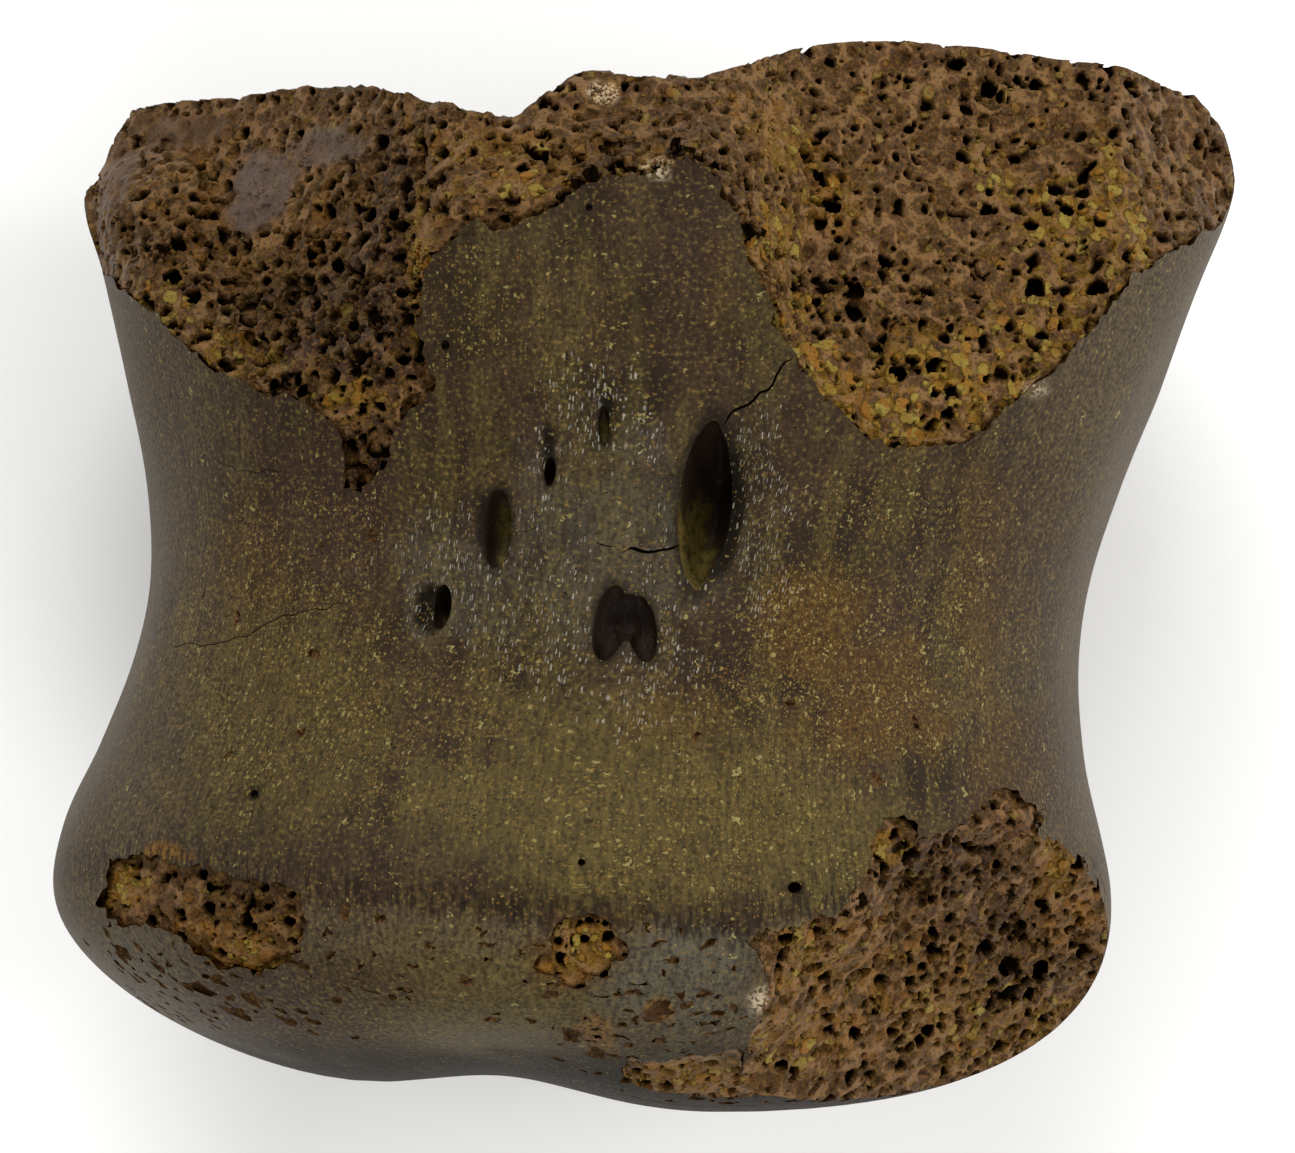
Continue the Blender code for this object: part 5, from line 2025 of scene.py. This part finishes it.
@dataclass(frozen=True)
class SpongyBoneFinish:
    """Fossil spongy bone: thin struts of stained apatite round cells that held marrow.

    It gives the eye brown walls with thin pinkish tan edges and black pores; the pores' black
    is painted shade that deepens with their depth. Many cells are filled with ochre, orange or
    straw-yellow iron minerals. The depths of the pores are dull.
    """

    name: str = "spongy fossil bone"
    wall: str = "#4d3419"
    wall_pale: str = "#7c5c37"
    wall_dark: str = "#27180b"
    grit: str = "#6e4b24"
    deep: str = "#0c0704"
    # Near-black painted shade in the pores, laid by their depth.
    ochre: str = "#705113"
    straw: str = "#8e8038"
    orange: str = "#7b5213"
    scar: str = "#564840"
    rim: str = "#49331f"
    pale: str = "#b39c7c"
    ior: float = 1.5
    shine: float = 0.12
    relief: float = 0.13

    def material(self) -> Material:
        """Builds the material."""
        material, tree, place = start_shader(self.name)
        pore, fill, tint, ridge, gold, dark = (
            add(tree, STORED, attribute_name=name).outputs["Fac"]
            for name in ("pore", "fill", "tint", "ridge", "gold", "dark")
        )
        orange, scar, rim, _, pale, _ = (
            output for name in ("tone", "wear") for output in
            add(tree, PARTS, {0: add(tree, STORED, attribute_name=name).outputs["Vector"]}).outputs
        )
        mottle = add(tree, NOISE, {"Vector": place, "Scale": 1 / 1.6, "Detail": 2.0})
        fine = add(tree, NOISE, {"Vector": place, "Scale": 1 / 0.24, "Detail": 2.0})
        step = {
            name: add(tree, RANGE, dict(zip(STEP, row)), **SOFT)
            for name, row in {
                "mottle": (mottle, 0.4, 0.58, 0.0, 1.0), "crumb": (fine, 0.53, 0.68, 0.0, 0.7),
                "grit": (fine, 0.46, 0.34, 0.0, 0.7), "ochre": (mottle, 0.46, 0.56, 0.0, 0.85),
                "closed": (pore, 0.12, 0.5, self.shine, 0.0), "ragged": (fine, 0.36, 0.6, 1.0, 0.6),
                "orange": (mottle, 0.56, 0.42, 0.0, 0.75), "thin": (ridge, 0.35, 0.95, 0.0, 0.65),
                "filled": (gold, 0.0, 0.8, 0.4, 0.9), "pore": (pore, 0.12, 0.55, 0.0, 0.97),
                "crust": (tint, 0.76, 0.8, 0.0, 1.0), "flake": (fine, 0.44, 0.54, 0.0, 1.0),
                "shaded": (dark, 0.0, 1.0, 1.0, 0.35),
            }.items()
        }
        mineral = lay_coats(tree, self.ochre, (
            (tint, 1.0, self.straw), (step["crust"], 1.0, self.orange),
            (step["mottle"], 0.45, self.ochre), (step["crumb"], 0.7, self.wall_dark),
        ))
        colour = lay_coats(tree, self.wall, (
            (step["mottle"], 0.8, self.wall_dark), (dark, 0.9, self.wall_dark),
            (orange, step["orange"], self.orange), (gold, step["ochre"], self.ochre),
            (step["ochre"], 0.25, self.ochre), (step["grit"], 1.0, self.grit),
            (step["thin"], step["shaded"], self.wall_pale),
            (step["crumb"], 1.0, self.wall_dark), (fill, step["filled"], mineral),
            # The deep colour laid by pore depth on this line is painted shade.
            (step["pore"], 1.0, self.deep), (scar, step["ragged"], self.scar),
            (rim, step["ragged"], self.rim), (pale, step["flake"], self.pale),
        ))
        rough = add(tree, RANGE, dict(zip(STEP, (fine, 0.3, 0.7, 0.62, 0.42))))
        height = add(tree, MATH, {0: mottle, 1: 0.8, 2: fine}, operation="MULTIPLY_ADD")
        height = add(tree, MATH, {0: fill, 1: 1.1, 2: height}, operation="MULTIPLY_ADD")
        end_shader(tree, self, colour, rough, height, step["closed"])
        return material


@dataclass(frozen=True)
class VesselFinish:
    """The lining of the blood-vessel holes: dark bone with a crust of yellow mineral low down."""

    name: str = "lining of the vessel holes"
    bone: str = "#2b2018"
    mineral: str = "#6b5c2c"
    ior: float = 1.5
    shine: float = 0.1
    relief: float = 0.12

    def material(self) -> Material:
        """Builds the material."""
        material, tree, place = start_shader(self.name)
        wear_values = add(tree, STORED, attribute_name="wear").outputs["Vector"]
        crusted = add(tree, PARTS, {0: wear_values}).outputs[2]
        broad = add(tree, NOISE, {"Vector": place, "Scale": 1 / 1.4, "Detail": 3.0})
        fine = add(tree, NOISE, {"Vector": place, "Scale": 1 / 0.3, "Detail": 2.0})
        step = {
            name: add(tree, RANGE, dict(zip(STEP, row)), **SOFT)
            for name, row in {
                "crumb": (fine, 0.48, 0.75, 0.0, 0.7), "broad": (broad, 0.4, 0.55, 0.35, 1.0),
            }.items()
        }
        colour = lay_coats(tree, self.bone, (
            (crusted, step["broad"], self.mineral), (step["crumb"], 1.0, self.bone),
        ))
        rough = add(tree, RANGE, dict(zip(STEP, (fine, 0.3, 0.7, 0.55, 0.4))))
        height = add(tree, MATH, {0: broad, 1: 1.5, 2: fine}, operation="MULTIPLY_ADD")
        end_shader(tree, self, colour, rough, height, self.shine)
        return material


@dataclass(frozen=True)
class FloorFinish:
    """A sheet of matt white card, which the eye takes for plain light."""

    name: str = "white card"
    colour: str = "#fbfbfa"
    bright: str = "#ffffff"
    ior: float = 1.45
    shine: float = 0.1
    relief: float = 0.01

    def material(self) -> Material:
        """Builds the material."""
        material, tree, place = start_shader(self.name)
        grain = add(tree, NOISE, {"Vector": place, "Scale": 1 / 40, "Detail": 1.0})
        colour = lay_coats(tree, self.colour, ((grain, 0.2, self.bright),))
        rough = add(tree, RANGE, {"Value": grain, "To Min": 0.75, "To Max": 0.85})
        end_shader(tree, self, colour, rough, grain, self.shine)
        return material


class Lamp(NamedTuple):
    """A large soft light: its name, its place in metres and its power in watts."""

    name: str
    place: tuple[float, float, float]
    power: float


@dataclass
class Studio:
    """The floor, the lights and the camera."""

    floor_size: float = 4.0
    floor_drop: float = 0.05
    axis_height: float = Spool.axis_height
    sensor: float = 36.0
    lamps: tuple[Lamp, ...] = (
        Lamp("lamp at the hollow end", (-0.12, 0.66, 0.69), 5.8),
        Lamp("lamp at the domed end", (0.14, -0.64, 0.7), 3.4),
        Lamp("right lamp", (0.78, 0.06, 0.5), 5.7),
        Lamp("left lamp", (-0.77, 0.12, 0.52), 1.9),
    )
    lamp_size: float = 0.6
    world: str = "#f6f5f2"
    world_strength: float = 0.32

    def floor(self) -> Object:
        """Makes the floor, a little below the bone's resting face."""
        half = self.floor_size / 2 / MM
        corners = np.array(((-half, -half), (half, -half), (half, half), (-half, half)))
        points = np.column_stack((corners, np.full(4, -self.floor_drop)))
        floor = make_object("floor", make_mesh("floor", points, [(0, 1, 2, 3)]))
        floor.data.materials.append(FloorFinish().material())
        return floor

    def light(self, lamp: Lamp) -> None:
        """Adds a large soft light that faces the bone."""
        data = bpy.data.lights.new(lamp.name, "AREA")
        data.shape = "DISK"
        data.size = self.lamp_size
        data.energy = lamp.power
        obj = make_object(lamp.name, data)
        aim = Vector((0, 0, self.axis_height * MM)) - Vector(lamp.place)
        obj.location = lamp.place
        obj.rotation_euler = aim.to_track_quat("-Z", "Y").to_euler()

    def camera(self) -> None:
        """Adds the camera, straight above the bone."""
        data = bpy.data.cameras.new("camera")
        data.sensor_width = self.sensor
        data.lens = self.sensor * CAMERA_DISTANCE / (PHOTO_WIDTH * PIXEL)
        camera = make_object("camera", data)
        height = self.axis_height + CAMERA_DISTANCE
        camera.location = (BONE_SHIFT[0] * MM, BONE_SHIFT[1] * MM, height * MM)
        bpy.context.scene.camera = camera

    def build(self) -> Object:
        """Sets everything up and returns the floor."""
        self.camera()
        for lamp in self.lamps:
            self.light(lamp)
        world = bpy.data.worlds.new("studio")
        world.use_nodes = True
        background = world.node_tree.nodes["Background"]
        background.inputs["Color"].default_value = linear(self.world)
        background.inputs["Strength"].default_value = self.world_strength
        bpy.context.scene.world = world
        bpy.context.scene.view_settings.view_transform = "Standard"
        return self.floor()


def hold_in_box(obj: Object) -> None:
    """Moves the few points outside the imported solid's box onto it."""
    held = np.clip(read(obj.data.vertices, "co", 3), *np.array(CAD_BOX))
    obj.data.vertices.foreach_set("co", held.astype(np.float32).ravel())
    obj.data.update()


def report(obj: Object) -> None:
    """Logs a piece's size in triangles."""
    triangles = sum(len(p.vertices) - 2 for p in obj.data.polygons)
    log.info("%s: %d triangles", obj.name, triangles)


def main() -> None:
    """Builds the bone and its studio."""
    logging.basicConfig(level=logging.INFO, format="%(name)s: %(message)s")
    floor = Studio().build()
    dense = DenseBoneFinish().material()
    spongy = SpongyBoneFinish().material()
    vessel = VesselFinish().material()
    body = DenseBody()
    skin = body.skin()
    surface = Surface(skin.data)
    hull = body.hull(skin)

    pores = Pores()
    tree = pores.tree()
    pieces = [skin]
    for crust in CRUSTS:
        piece = crust.build(surface, hull, tree, pores, (spongy, dense))
        body.dress(piece)
        pieces.append(piece)
    body.build(skin, surface, (dense, spongy, vessel))
    discard(hull)

    for piece in pieces:
        hold_in_box(piece)
        report(piece)
        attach(piece, BODY)
        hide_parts(NODE)


if __name__ == "__main__":
    main()
